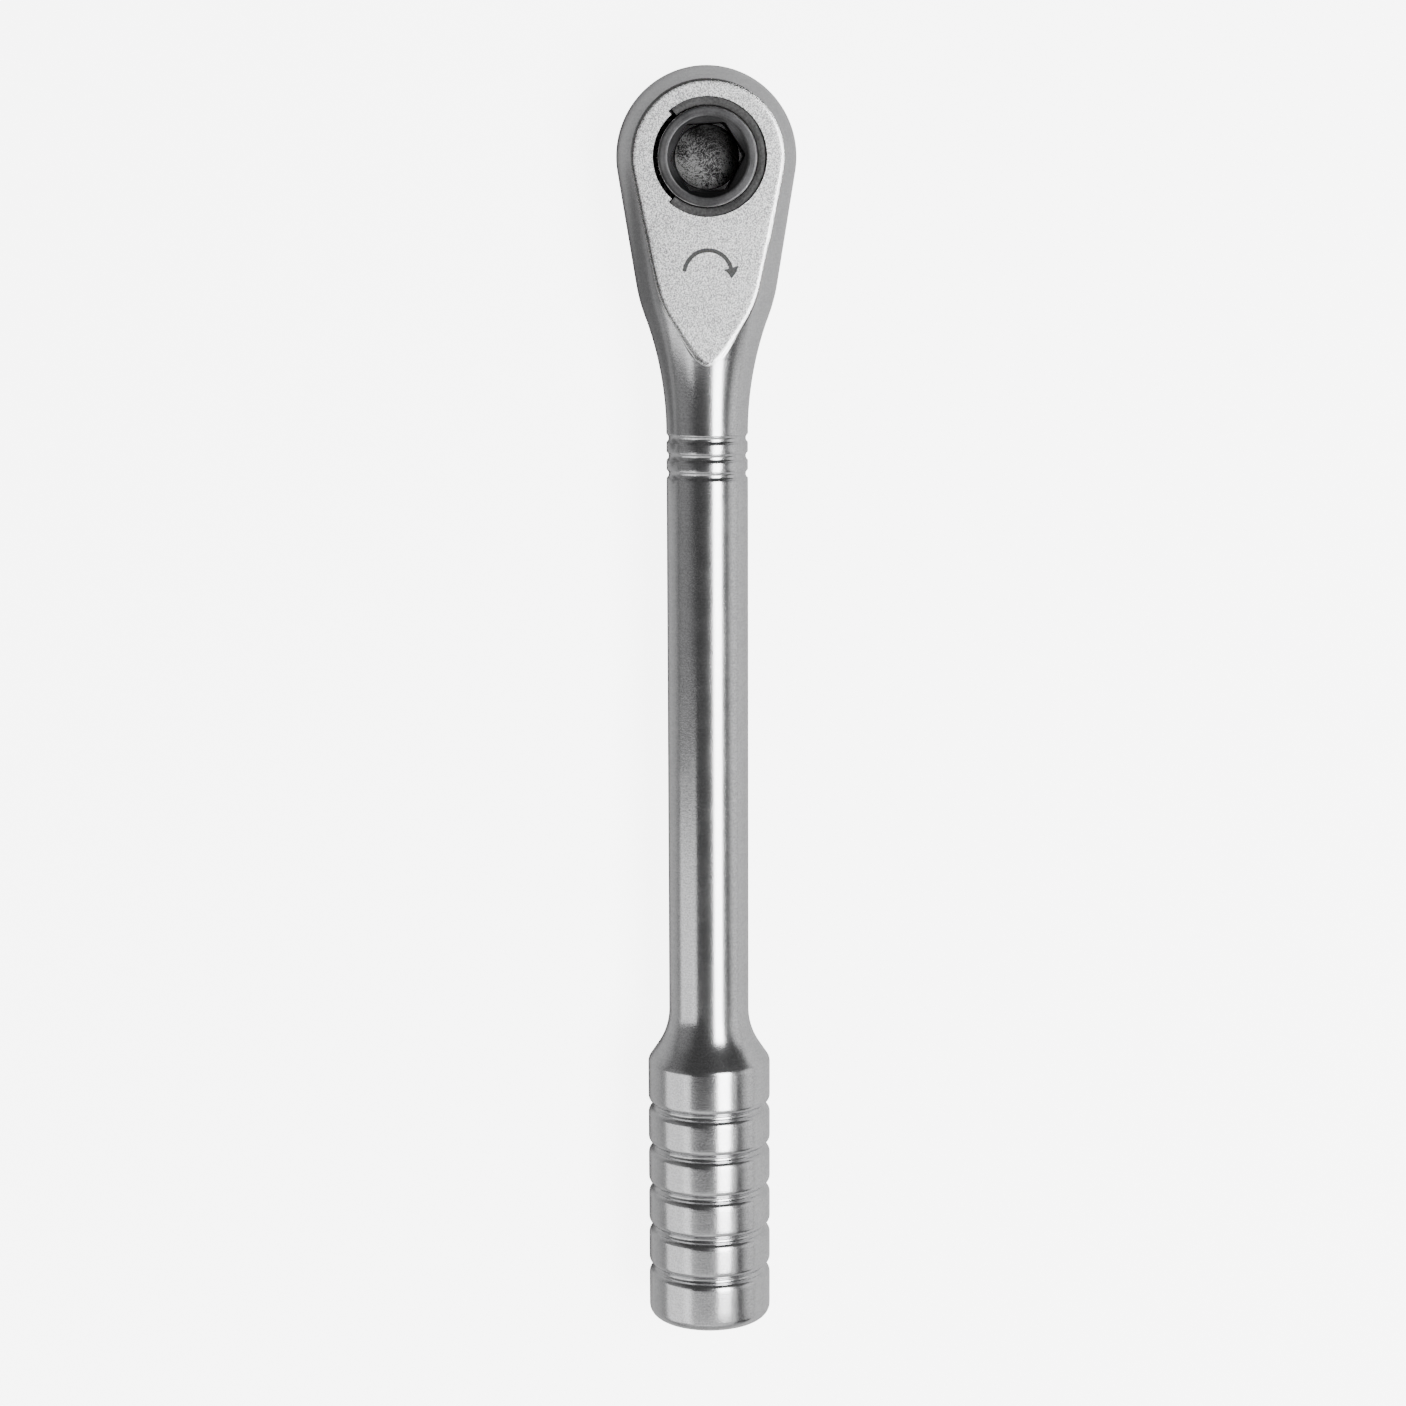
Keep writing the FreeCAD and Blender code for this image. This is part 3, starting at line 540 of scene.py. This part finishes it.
skin = add(tree, "ShaderNodeMix", {0: on_flat, 2: smooth_skin, 3: blast["Height"]}).outputs[0]
skin = maths(tree, "SUBTRACT", skin, times(tree, etched, 0.8))
dress(tree, shader, colour, rough, skin, 0.75, 0.04 * MM)

grooves = turning_tree()
run_tree(wrench_body, grooves, First=FINE_FIRST * MM, Pitch=FINE_PITCH * MM, Count=FINE_COUNT,
         Depth=FINE_DEPTH * MM, Edge_Radius=FINE_EDGE * MM, Floor_Radius=FINE_FLOOR * MM,
         Material=satin_chrome)
run_tree(wrench_body, grooves, First=GROOVE_FIRST * MM, Pitch=GROOVE_PITCH * MM, Count=GROOVE_COUNT,
         Depth=GROOVE_DEPTH * MM, Edge_Radius=GROOVE_EDGE * MM, Floor_Radius=GROOVE_FLOOR * MM,
         Material=satin_chrome)
# the bore for the gear, its rear lip, the snap ring's seat, and the pocket and hole for the pawl
BORE, LIP, LIP_TOP = 5.25 * MM, 4.86 * MM, -3.75 * MM
OPEN_START, OPEN_END = -41.0, 221.0     # degrees over which the snap ring's opening runs
OPENING, SEAT = 5.7 * MM, 6.1 * MM      # radii of that opening and of the groove under its lip
SEAT_LOW, SEAT_HIGH = 3.62 * MM, 4.48 * MM
FRONT_BREAK, REAR_BREAK = 0.03 * MM, 0.12 * MM
PAST_FACE, CUT_TOP = 1.15 * MM, 6 * MM  # how far the 45 degree breaks and the cutters run on
POCKET_HALF, POCKET_TOP = 2.898 * MM, 3.0 * MM
SPRING_HOLE = 1.2 * MM
cut(wrench_body, as_object("bore", revolved(
    [(0, -CUT_TOP), (LIP + REAR_BREAK + PAST_FACE, -CUT_TOP), (LIP, -FLAT + REAR_BREAK), (LIP, LIP_TOP),
     (BORE, LIP_TOP), (BORE, FLAT - FRONT_BREAK), (BORE + FRONT_BREAK + PAST_FACE, CUT_TOP), (0, CUT_TOP)],
    144, 0.5, 360.5)))
cut(wrench_body, as_object("ring_opening", revolved(
    [(4 * MM, SEAT_LOW), (SEAT, SEAT_LOW), (SEAT, SEAT_HIGH), (OPENING, SEAT_HIGH),
     (OPENING, FLAT - FRONT_BREAK), (OPENING + FRONT_BREAK + PAST_FACE, CUT_TOP), (4 * MM, CUT_TOP)],
    131, OPEN_START, OPEN_END)))
pocket = [(POCKET_HALF, -POCKET_TOP), (POCKET_HALF, POCKET_TOP),
          (-POCKET_HALF, POCKET_TOP), (-POCKET_HALF, -POCKET_TOP)]
cut(wrench_body, as_object("pawl_pocket", extruded(pocket, 4.0 * MM, 9.2 * MM, "x")))
turns = [math.radians(a) for a in range(0, 360, 10)]
hole = [(SPRING_HOLE * math.cos(t), SPRING_HOLE * math.sin(t)) for t in turns]
cut(wrench_body, as_object("spring_hole", extruded(hole, 9.0 * MM, 13.6 * MM, "x")))
even_shading(wrench_body)
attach(wrench_body, "body")
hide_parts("wrench_body")


# ==== drive_gear ===========================================================================
# The ratchet gear, turned and broached from alloy steel and blackened. A band of 36 saw teeth
# runs between two round hubs, and a hexagon socket goes right through it. It drops into the head.
HUB = 4.8 * MM
HUB_FACE = 5.05 * MM
MOUTH = 3.86 * MM
MOUTH_DEPTH = HUB_FACE - 0.04 * MM
CONE_SLOPE = 0.9                   # how far the cone drops for each step inwards
HEX_FLATS = 6.4 * MM
HEX_CORNER = 33.0                  # degrees from the handle to the first corner


def hexagon_radius(turn):
    """From the middle to the hexagon at an angle, with its corners a little rounded."""
    across = math.radians((turn - HEX_CORNER) % 60 - 30)
    return min(HEX_FLATS / 2 / math.cos(across), 3.62 * MM)


def rounded(corner_r, corner_z, size, start):
    """A round edge break on an outline of (radius, z), as four points from start degrees on."""
    turns = [math.radians(start - 30 * i) for i in range(4)]
    return [(corner_r + size * math.cos(t), corner_z + size * math.sin(t)) for t in turns]


def gear_hub():
    """Both hubs, the cones that lead a bit in, and the hexagon walls as one closed skin."""
    front = [(None, 1.0), (MOUTH, MOUTH_DEPTH), (MOUTH + 0.04 * MM, HUB_FACE - 0.01 * MM)]
    front += [(MOUTH + 0.08 * MM, HUB_FACE), (MOUTH + 0.3 * MM, HUB_FACE), (HUB - 0.3 * MM, HUB_FACE)]
    front += rounded(HUB - 0.14 * MM, HUB_FACE - 0.14 * MM, 0.14 * MM, 90)
    outline = front + [(r, -z) for r, z in reversed(front)]
    mesh = bmesh.new()
    columns = []
    for step in range(144):
        degrees = 0.5 + 2.5 * step
        turn = math.radians(degrees)
        column = []
        for radius, level in outline:
            out = hexagon_radius(degrees) if radius is None else radius
            if radius is None:
                level = math.copysign(MOUTH_DEPTH - (MOUTH - out) * CONE_SLOPE, level)
            column.append(mesh.verts.new((out * math.cos(turn), out * math.sin(turn), level)))
        columns.append(column)
    for left, right in zip(columns, columns[1:] + columns[:1]):
        for i in range(len(left)):
            j = (i + 1) % len(left)
            mesh.faces.new((left[i], right[i], right[j], left[j]))
    bmesh.ops.recalc_face_normals(mesh, faces=mesh.faces)
    return mesh


def tooth_slice():
    """One tooth of the band, open at its two sides where the next ones join on."""
    valley, shoulder, tip, inside = 4.8, 5.17, 5.197, 4.6        # radii, in millimetres
    outer = [(0.0, valley), (6.2, shoulder), (6.7, tip), (7.75, tip), (8.0, shoulder), (10.0, valley)]
    inner = [(10.0, inside), (5.0, inside), (0.0, inside)]
    mesh = bmesh.new()
    loops = []
    for level in (-3.7 * MM, 3.6 * MM):
        loop = []
        for degrees, radius in outer + inner:
            turn = math.radians(degrees)
            out = radius * MM
            loop.append(mesh.verts.new((out * math.cos(turn), out * math.sin(turn), level)))
        loops.append(loop)
    low, high = loops
    joined = (len(outer) - 1, len(low) - 1)
    for i in range(len(low)):
        j = (i + 1) % len(low)
        if i not in joined:
            mesh.faces.new((low[i], low[j], high[j], high[i]))
    mesh.faces.new(reversed(low))
    mesh.faces.new(high)
    return mesh


def ring_of_copies_tree():
    """Copies a shape round the Z axis, a whole number of times, and joins the copies."""
    tree = new_tree("ring_of_teeth", "GeometryNodeTree")
    given = inputs_for(tree, Count="Int", Material="Material")
    points = add(tree, "GeometryNodePoints", {"Count": given["Count"]}).outputs[0]
    index = add(tree, "GeometryNodeInputIndex").outputs[0]
    turn = maths(tree, "MULTIPLY", index, maths(tree, "DIVIDE", math.tau, given["Count"]))
    spin = add(tree, "ShaderNodeCombineXYZ", {2: turn}).outputs[0]
    copies = add(tree, "GeometryNodeInstanceOnPoints", {"Points": points, "Instance": given["Geometry"],
                                                       "Rotation": spin})
    finish_tree(tree, copies.outputs[0], given["Material"])
    return tree


def join(name, *pieces):
    """Several plain objects as one, keeping the first one's materials."""
    mesh = bmesh.new()
    for piece in pieces:
        mesh.from_mesh(piece.data)
    material = pieces[0].data.materials[0] if pieces[0].data.materials else None
    for piece in pieces:
        bpy.data.objects.remove(piece)
    made = as_object(name, mesh)
    if material:
        made.data.materials.append(material)
    return made


black_oxide, tree, shader = steel("black_oxide", (0.11, 0.11, 0.112), 0.36)
place, x, y, z = spot(tree)
radius = from_axis(tree, x, y)
rings = add(tree, "ShaderNodeCombineXYZ", {0: times(tree, radius, 14000.0), 1: times(tree, z, 9000.0)})
turned = grouped(tree, METAL_GRAIN, Place=place, Streaks=rings.outputs[0], Speck_Scale=5200.0,
                 Streak_Share=0.62, Patch_Scale=320.0, Patch_Share=0.2)
level = maths(tree, "ABSOLUTE", z)
rim_gap = maths(tree, "ABSOLUTE", maths(tree, "SUBTRACT", radius, HUB - 0.03 * MM))
near_face = between(tree, level, HUB_FACE - 0.17 * MM, HUB_FACE - 0.1 * MM)
bare = grouped(tree, EDGE_WEAR, Place=place, Distance=rim_gap, Width=0.07 * MM, Nick_Scale=700.0)["Mask"]
bare = times(tree, bare, near_face)
colour = mixed(tree, between(tree, turned["Tone"], 0.3, 0.7), grey(0.05, 0.002), grey(0.12, 0.002))
# painted shade: everything on the gear more than about 0.75 mm in from either hub face, socket walls and
# teeth alike, is painted near black
clear_of_painted_shade = between(tree, level, HUB_FACE - 0.8 * MM, HUB_FACE - 0.7 * MM)
colour = mixed(tree, clear_of_painted_shade, grey(0.02), colour)
colour = mixed(tree, times(tree, bare, 0.85), colour, grey(0.55))
rough = between(tree, turned["Patches"], 0.3, 0.7, 0.32, 0.46)
dress(tree, shader, colour, rough, turned["Height"], 0.3, 0.02 * MM)

hub = as_object("gear_hub", gear_hub())
hub.data.materials.append(black_oxide)
band = as_object("tooth_band", tooth_slice())
run_tree(band, ring_of_copies_tree(), Count=36, Material=black_oxide)
drive_gear = join("drive_gear_shown", hub, band)
even_shading(drive_gear, 40.0)
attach(drive_gear, "gear")
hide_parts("drive_gear")


# ==== bit_magnet ===========================================================================
# A nickel-plated round magnet pressed into the middle of the hexagon hole, so that a bit sits
# against it from either side. Its faces are scuffed by bits, and carry painted shade.
MAGNET = 3.175 * MM
MAGNET_HALF = 0.9 * MM
SWIRL = 640.0                      # how far the scuffs turn, in radians for each metre outwards
scuffed_nickel, tree, shader = steel("scuffed_nickel", (0.4, 0.4, 0.4), 0.45)
place, x, y, z = spot(tree)
radius = from_axis(tree, x, y)
swirled = add(tree, "ShaderNodeVectorRotate", {"Vector": place, "Angle": times(tree, radius, SWIRL)},
              rotation_type="Z_AXIS").outputs[0]
scuffs = grouped(tree, METAL_GRAIN, Place=place, Streaks=stretched(tree, swirled, 2600, 8200, 2600),
                 Speck_Scale=9500.0, Streak_Share=0.4, Patch_Scale=420.0, Patch_Share=0.2)
edge = maths(tree, "SUBTRACT", MAGNET, radius)
rubbed = grouped(tree, EDGE_WEAR, Place=place, Distance=edge, Width=0.3 * MM, Nick_Scale=900.0)["Mask"]
# the scuff specks vary the tone, but the whole range is painted dark, near black to dull grey, as painted
# shade deep in the socket
colour = mixed(tree, between(tree, scuffs["Tone"], 0.45, 0.56), grey(0.006), grey(0.24))
colour = mixed(tree, times(tree, rubbed, 0.4), colour, grey(0.3))
# painted shadow: each face fades to near black towards -X and +Y, standing for the shadow of the socket's
# wall
across = maths(tree, "SUBTRACT", x, times(tree, y, 0.5))
colour = mixed(tree, between(tree, across, -2.6 * MM, 1.8 * MM, 0.18, 1.0), grey(0.01), colour)
rough = between(tree, scuffs["Patches"], 0.3, 0.7, 0.34, 0.6)
dress(tree, shader, colour, rough, scuffs["Height"], 0.6, 0.03 * MM)

edge_round = rounded(MAGNET - 0.14 * MM, MAGNET_HALF - 0.14 * MM, 0.14 * MM, 90)
upper_half = [(0.0, MAGNET_HALF), (1.6 * MM, MAGNET_HALF)] + edge_round
lower_half = [(r, -z) for r, z in reversed(upper_half)]
bit_magnet = as_object("bit_magnet_shown", revolved(upper_half + lower_half, 96))
bit_magnet.data.materials.append(scuffed_nickel)
even_shading(bit_magnet)
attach(bit_magnet, "gear")
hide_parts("bit_magnet")


# ==== pawl =================================================================================
# A small block of hardened steel with five teeth, sliding in a pocket behind the gear. Its
# design shape is shown as it is, with its own finish.
hardened, tree, shader = steel("hardened_steel", (0.3, 0.3, 0.31), 0.4)
place, x, y, z = spot(tree)
ground = grouped(tree, METAL_GRAIN, Place=place, Streaks=stretched(tree, place, 900, 900, 9000),
                 Speck_Scale=4000.0, Streak_Share=0.7, Patch_Scale=300.0, Patch_Share=0.2)
colour = mixed(tree, between(tree, ground["Tone"], 0.3, 0.7), (0.2, 0.2, 0.205, 1.0), (0.4, 0.39, 0.37, 1.0))
rough = between(tree, ground["Patches"], 0.3, 0.7, 0.3, 0.48)
dress(tree, shader, colour, rough, ground["Height"], 0.3, 0.02 * MM)
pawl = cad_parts["pawl"]
pawl.data.materials.clear()
pawl.data.materials.append(hardened)


# ==== pawl_spring ==========================================================================
# A coil of round music wire between the hole's floor and the pawl's seat. It pushes the pawl
# into the gear, and shortens as a passing tooth lifts the pawl.
SPRING_START, SPRING_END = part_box("pawl_spring")[0].x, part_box("pawl_spring")[1].x
WIRE = 0.15 * MM


def spring_tree():
    """A round wire wound into a coil along Z."""
    tree = new_tree("wound_spring", "GeometryNodeTree")
    given = inputs_for(tree, Turns="Float", Coil_Radius="Float", Wire_Radius="Float", Length="Float",
                       Material="Material")
    path = add(tree, "GeometryNodeCurveSpiral", {"Resolution": 40, "Rotations": given["Turns"],
                                                "Start Radius": given["Coil Radius"],
                                                "End Radius": given["Coil Radius"],
                                                "Height": given["Length"]}).outputs[0]
    section = add(tree, "GeometryNodeCurvePrimitiveCircle",
                  {"Resolution": 12, "Radius": given["Wire Radius"]})
    wire = add(tree, "GeometryNodeCurveToMesh", {"Curve": path, "Profile Curve": section.outputs[0],
                                                "Fill Caps": True})
    lie_down = add(tree, "GeometryNodeTransform", {"Geometry": wire.outputs[0],
                                                  "Rotation": (0.0, math.pi / 2, 0.0)})
    finish_tree(tree, lie_down.outputs[0], given["Material"])
    return tree


music_wire, tree, shader = steel("music_wire", (0.5, 0.5, 0.5), 0.3)
place, x, y, z = spot(tree)
drawn = grouped(tree, METAL_GRAIN, Place=place, Streaks=stretched(tree, place, 6000, 900, 900),
                Speck_Scale=6000.0, Streak_Share=0.6, Patch_Scale=400.0, Patch_Share=0.2)
colour = mixed(tree, between(tree, drawn["Tone"], 0.3, 0.7), grey(0.3), (0.6, 0.6, 0.59, 1.0))
rough = between(tree, drawn["Patches"], 0.3, 0.7, 0.24, 0.4)
dress(tree, shader, colour, rough, drawn["Height"], 0.2, 0.01 * MM)
pawl_spring = as_object("pawl_spring_shown", bmesh.new())
run_tree(pawl_spring, spring_tree(), Turns=9.0, Coil_Radius=0.93 * MM, Wire_Radius=WIRE,
         Length=SPRING_END - SPRING_START - 2 * WIRE, Material=music_wire)
for corner in pawl_spring.data.vertices:
    corner.co.x += SPRING_START + WIRE
for face in pawl_spring.data.polygons:
    face.use_smooth = True
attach(pawl_spring, "body")
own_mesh(pawl_spring)
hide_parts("pawl_spring")


# ==== retaining_ring =======================================================================
# A flat C-shaped spring ring, stamped and phosphated. It is squeezed in through the open side
# of the mouth and springs out under the lip, over the gear's teeth.
RING_IN, RING_OUT = 4.86 * MM, 6.02 * MM
RING_LOW, RING_HIGH = 3.65 * MM, 4.45 * MM
RING_START, RING_STOP = -39.5, 217.0
phosphate, tree, shader = steel("phosphate", (0.08, 0.08, 0.082), 0.45)
place, x, y, z = spot(tree)
radius = from_axis(tree, x, y)
rings = add(tree, "ShaderNodeCombineXYZ", {0: times(tree, radius, 8000.0), 1: times(tree, z, 6000.0)})
coat = grouped(tree, METAL_GRAIN, Place=place, Streaks=rings.outputs[0], Speck_Scale=5000.0,
               Streak_Share=0.3, Patch_Scale=300.0, Patch_Share=0.2)
from_inside = maths(tree, "ABSOLUTE", maths(tree, "SUBTRACT", radius, RING_IN))
from_outside = maths(tree, "ABSOLUTE", maths(tree, "SUBTRACT", RING_OUT, radius))
edge = maths(tree, "MINIMUM", from_inside, from_outside)
bare = grouped(tree, EDGE_WEAR, Place=place, Distance=edge, Width=0.06 * MM, Nick_Scale=800.0)["Mask"]
colour = mixed(tree, between(tree, coat["Tone"], 0.3, 0.7), grey(0.045), grey(0.115))
colour = mixed(tree, times(tree, bare, 0.5), colour, grey(0.3))
rough = between(tree, coat["Patches"], 0.3, 0.7, 0.38, 0.52)
dress(tree, shader, colour, rough, coat["Height"], 0.35, 0.02 * MM)

size = 0.08 * MM
outline = rounded(RING_OUT - size, RING_HIGH - size, size, 90)
outline += rounded(RING_OUT - size, RING_LOW + size, size, 0)
outline += rounded(RING_IN + size, RING_LOW + size, size, 270)
outline += rounded(RING_IN + size, RING_HIGH - size, size, 180)
retaining_ring = as_object("retaining_ring_shown", revolved(outline, 128, RING_START, RING_STOP))
retaining_ring.data.materials.append(phosphate)
even_shading(retaining_ring, 40.0)
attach(retaining_ring, "body")
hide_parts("retaining_ring")


# ==== floor, light and camera ==============================================================
# A pale table under soft light, with a large soft box to one side and a grey wall past the butt.
FLOOR_LEVEL = -6.45 * MM


def pale_floor():
    """A large matt sheet just under the object. Reflections see a painted darker tone on it."""
    mesh = bmesh.new()
    corners = [(-1.4, -1.5), (1.6, -1.5), (1.6, 1.5), (-1.4, 1.5)]
    mesh.faces.new([mesh.verts.new((a, b, FLOOR_LEVEL)) for a, b in corners])
    made = as_object("floor", mesh)
    paint = bpy.data.materials.new("matt_table")
    paint.use_nodes = True
    tree = paint.node_tree
    shader = tree.nodes["Principled BSDF"]
    shader.inputs["Roughness"].default_value = 0.9
    shader.inputs["Specular IOR Level"].default_value = 0.1
    ray = add(tree, "ShaderNodeLightPath").outputs
    place = add(tree, "ShaderNodeTexCoord").outputs["Object"]
    sideways = add(tree, "ShaderNodeSeparateXYZ", {0: place}).outputs[1]
    # painted reflection: rays other than the camera's see the floor darker, darkest towards -Y
    painted_reflection_tone = mixed(tree, between(tree, sideways, -60 * MM, 30 * MM), grey(0.24), grey(0.5))
    painted_dark_patch_place = (18 * MM, -22 * MM, FLOOR_LEVEL)       # a painted dark patch beside the neck, seen only in reflections
    beside = add(tree, "ShaderNodeVectorMath", {0: place, 1: painted_dark_patch_place}, operation="DISTANCE")
    painted_dark_patch = between(tree, beside.outputs["Value"], 9 * MM, 20 * MM)
    painted_reflection_tone = mixed(tree, painted_dark_patch, grey(0.13), painted_reflection_tone)
    colour = mixed(tree, ray["Is Camera Ray"], painted_reflection_tone, grey(0.9))
    tree.links.new(colour, shader.inputs["Base Color"])
    shader.inputs["Emission Color"].default_value = grey(1.0)
    # glows for the camera out in the open, with a painted shadow under the head: no glow there, where it
    # shows only through gaps
    from_head = add(tree, "ShaderNodeVectorMath", {0: place}, operation="LENGTH").outputs["Value"]
    glow_outside_painted_shadow = between(tree, from_head, 8.0 * MM, 11.0 * MM, 0.0, 6.0)
    tree.links.new(times(tree, ray["Is Camera Ray"], glow_outside_painted_shadow), shader.inputs["Emission Strength"])
    made.data.materials.append(paint)
    return made


def soft_box(name, place, target, size, strength):
    """A rectangular lamp aimed at a point, given in millimetres."""
    lamp = bpy.data.lights.new(name, "AREA")
    lamp.shape = "RECTANGLE"
    lamp.size, lamp.size_y = size[0] * MM, size[1] * MM
    lamp.energy = strength * lamp.size * lamp.size_y * math.pi
    made = bpy.data.objects.new(name, lamp)
    made.location = Vector(place) * MM
    made.visible_camera = False
    facing = (Vector(place) - Vector(target)).normalized()
    along = Vector((1, 0, 0))
    side = facing.cross(along).normalized()
    along = side.cross(facing)
    made.rotation_mode = "QUATERNION"
    made.rotation_quaternion = Matrix((along, side, facing)).transposed().to_quaternion()
    bpy.context.scene.collection.objects.link(made)
    return made


def studio_walls():
    """The room's own soft light: dim overhead, with pale walls on the right and past the butt."""
    world = bpy.data.worlds.new("studio")
    world.use_nodes = True
    tree = world.node_tree
    way = add(tree, "ShaderNodeTexCoord").outputs["Generated"]
    lengthways, sideways, _ = add(tree, "ShaderNodeSeparateXYZ", {0: way}).outputs
    right = between(tree, sideways, 0.8, 0.96, 0.07, 0.95)
    left = between(tree, sideways, -0.97, -0.5, 0.26, 0.07)
    past_butt = between(tree, lengthways, 0.55, 0.85, 0.0, 0.5)
    level = maths(tree, "MAXIMUM", maths(tree, "MAXIMUM", left, right), past_butt)
    tree.links.new(level, tree.nodes["Background"].inputs["Strength"])
    tree.nodes["Background"].inputs["Color"].default_value = grey(1.0)
    bpy.context.scene.world = world


floor = pale_floor()
studio_walls()
key = soft_box("key", (70, 160, 320), (70, 0, 0), (330, 140), 14.0)
left_card = soft_box("left_card", (185, -150, 80), (185, 0, 20), (170, 170), 1.1)
butt_card = soft_box("butt_card", (416, 0, 320), (416, 0, 0), (400, 800), 0.66)

camera_data = bpy.data.cameras.new("camera")
camera_data.lens = 79.15
camera_data.sensor_width = 36.0
camera_data.clip_start = 0.01
camera_data.clip_end = 10.0
camera = bpy.data.objects.new("camera", camera_data)
bpy.context.scene.collection.objects.link(camera)
stand = Vector((2.2, -8.0, 306.0)) * MM
looks_at = Vector((54.0, -0.5, 0.0)) * MM
back = (stand - looks_at).normalized()
roll = math.radians(-0.19)
up = Vector((-math.cos(roll), -math.sin(roll), 0.0))
right = up.cross(back).normalized()
up = back.cross(right)
camera.rotation_mode = "QUATERNION"
camera.rotation_quaternion = (Matrix((right, up, back)).transposed()).to_quaternion()
camera.location = stand
bpy.context.scene.camera = camera
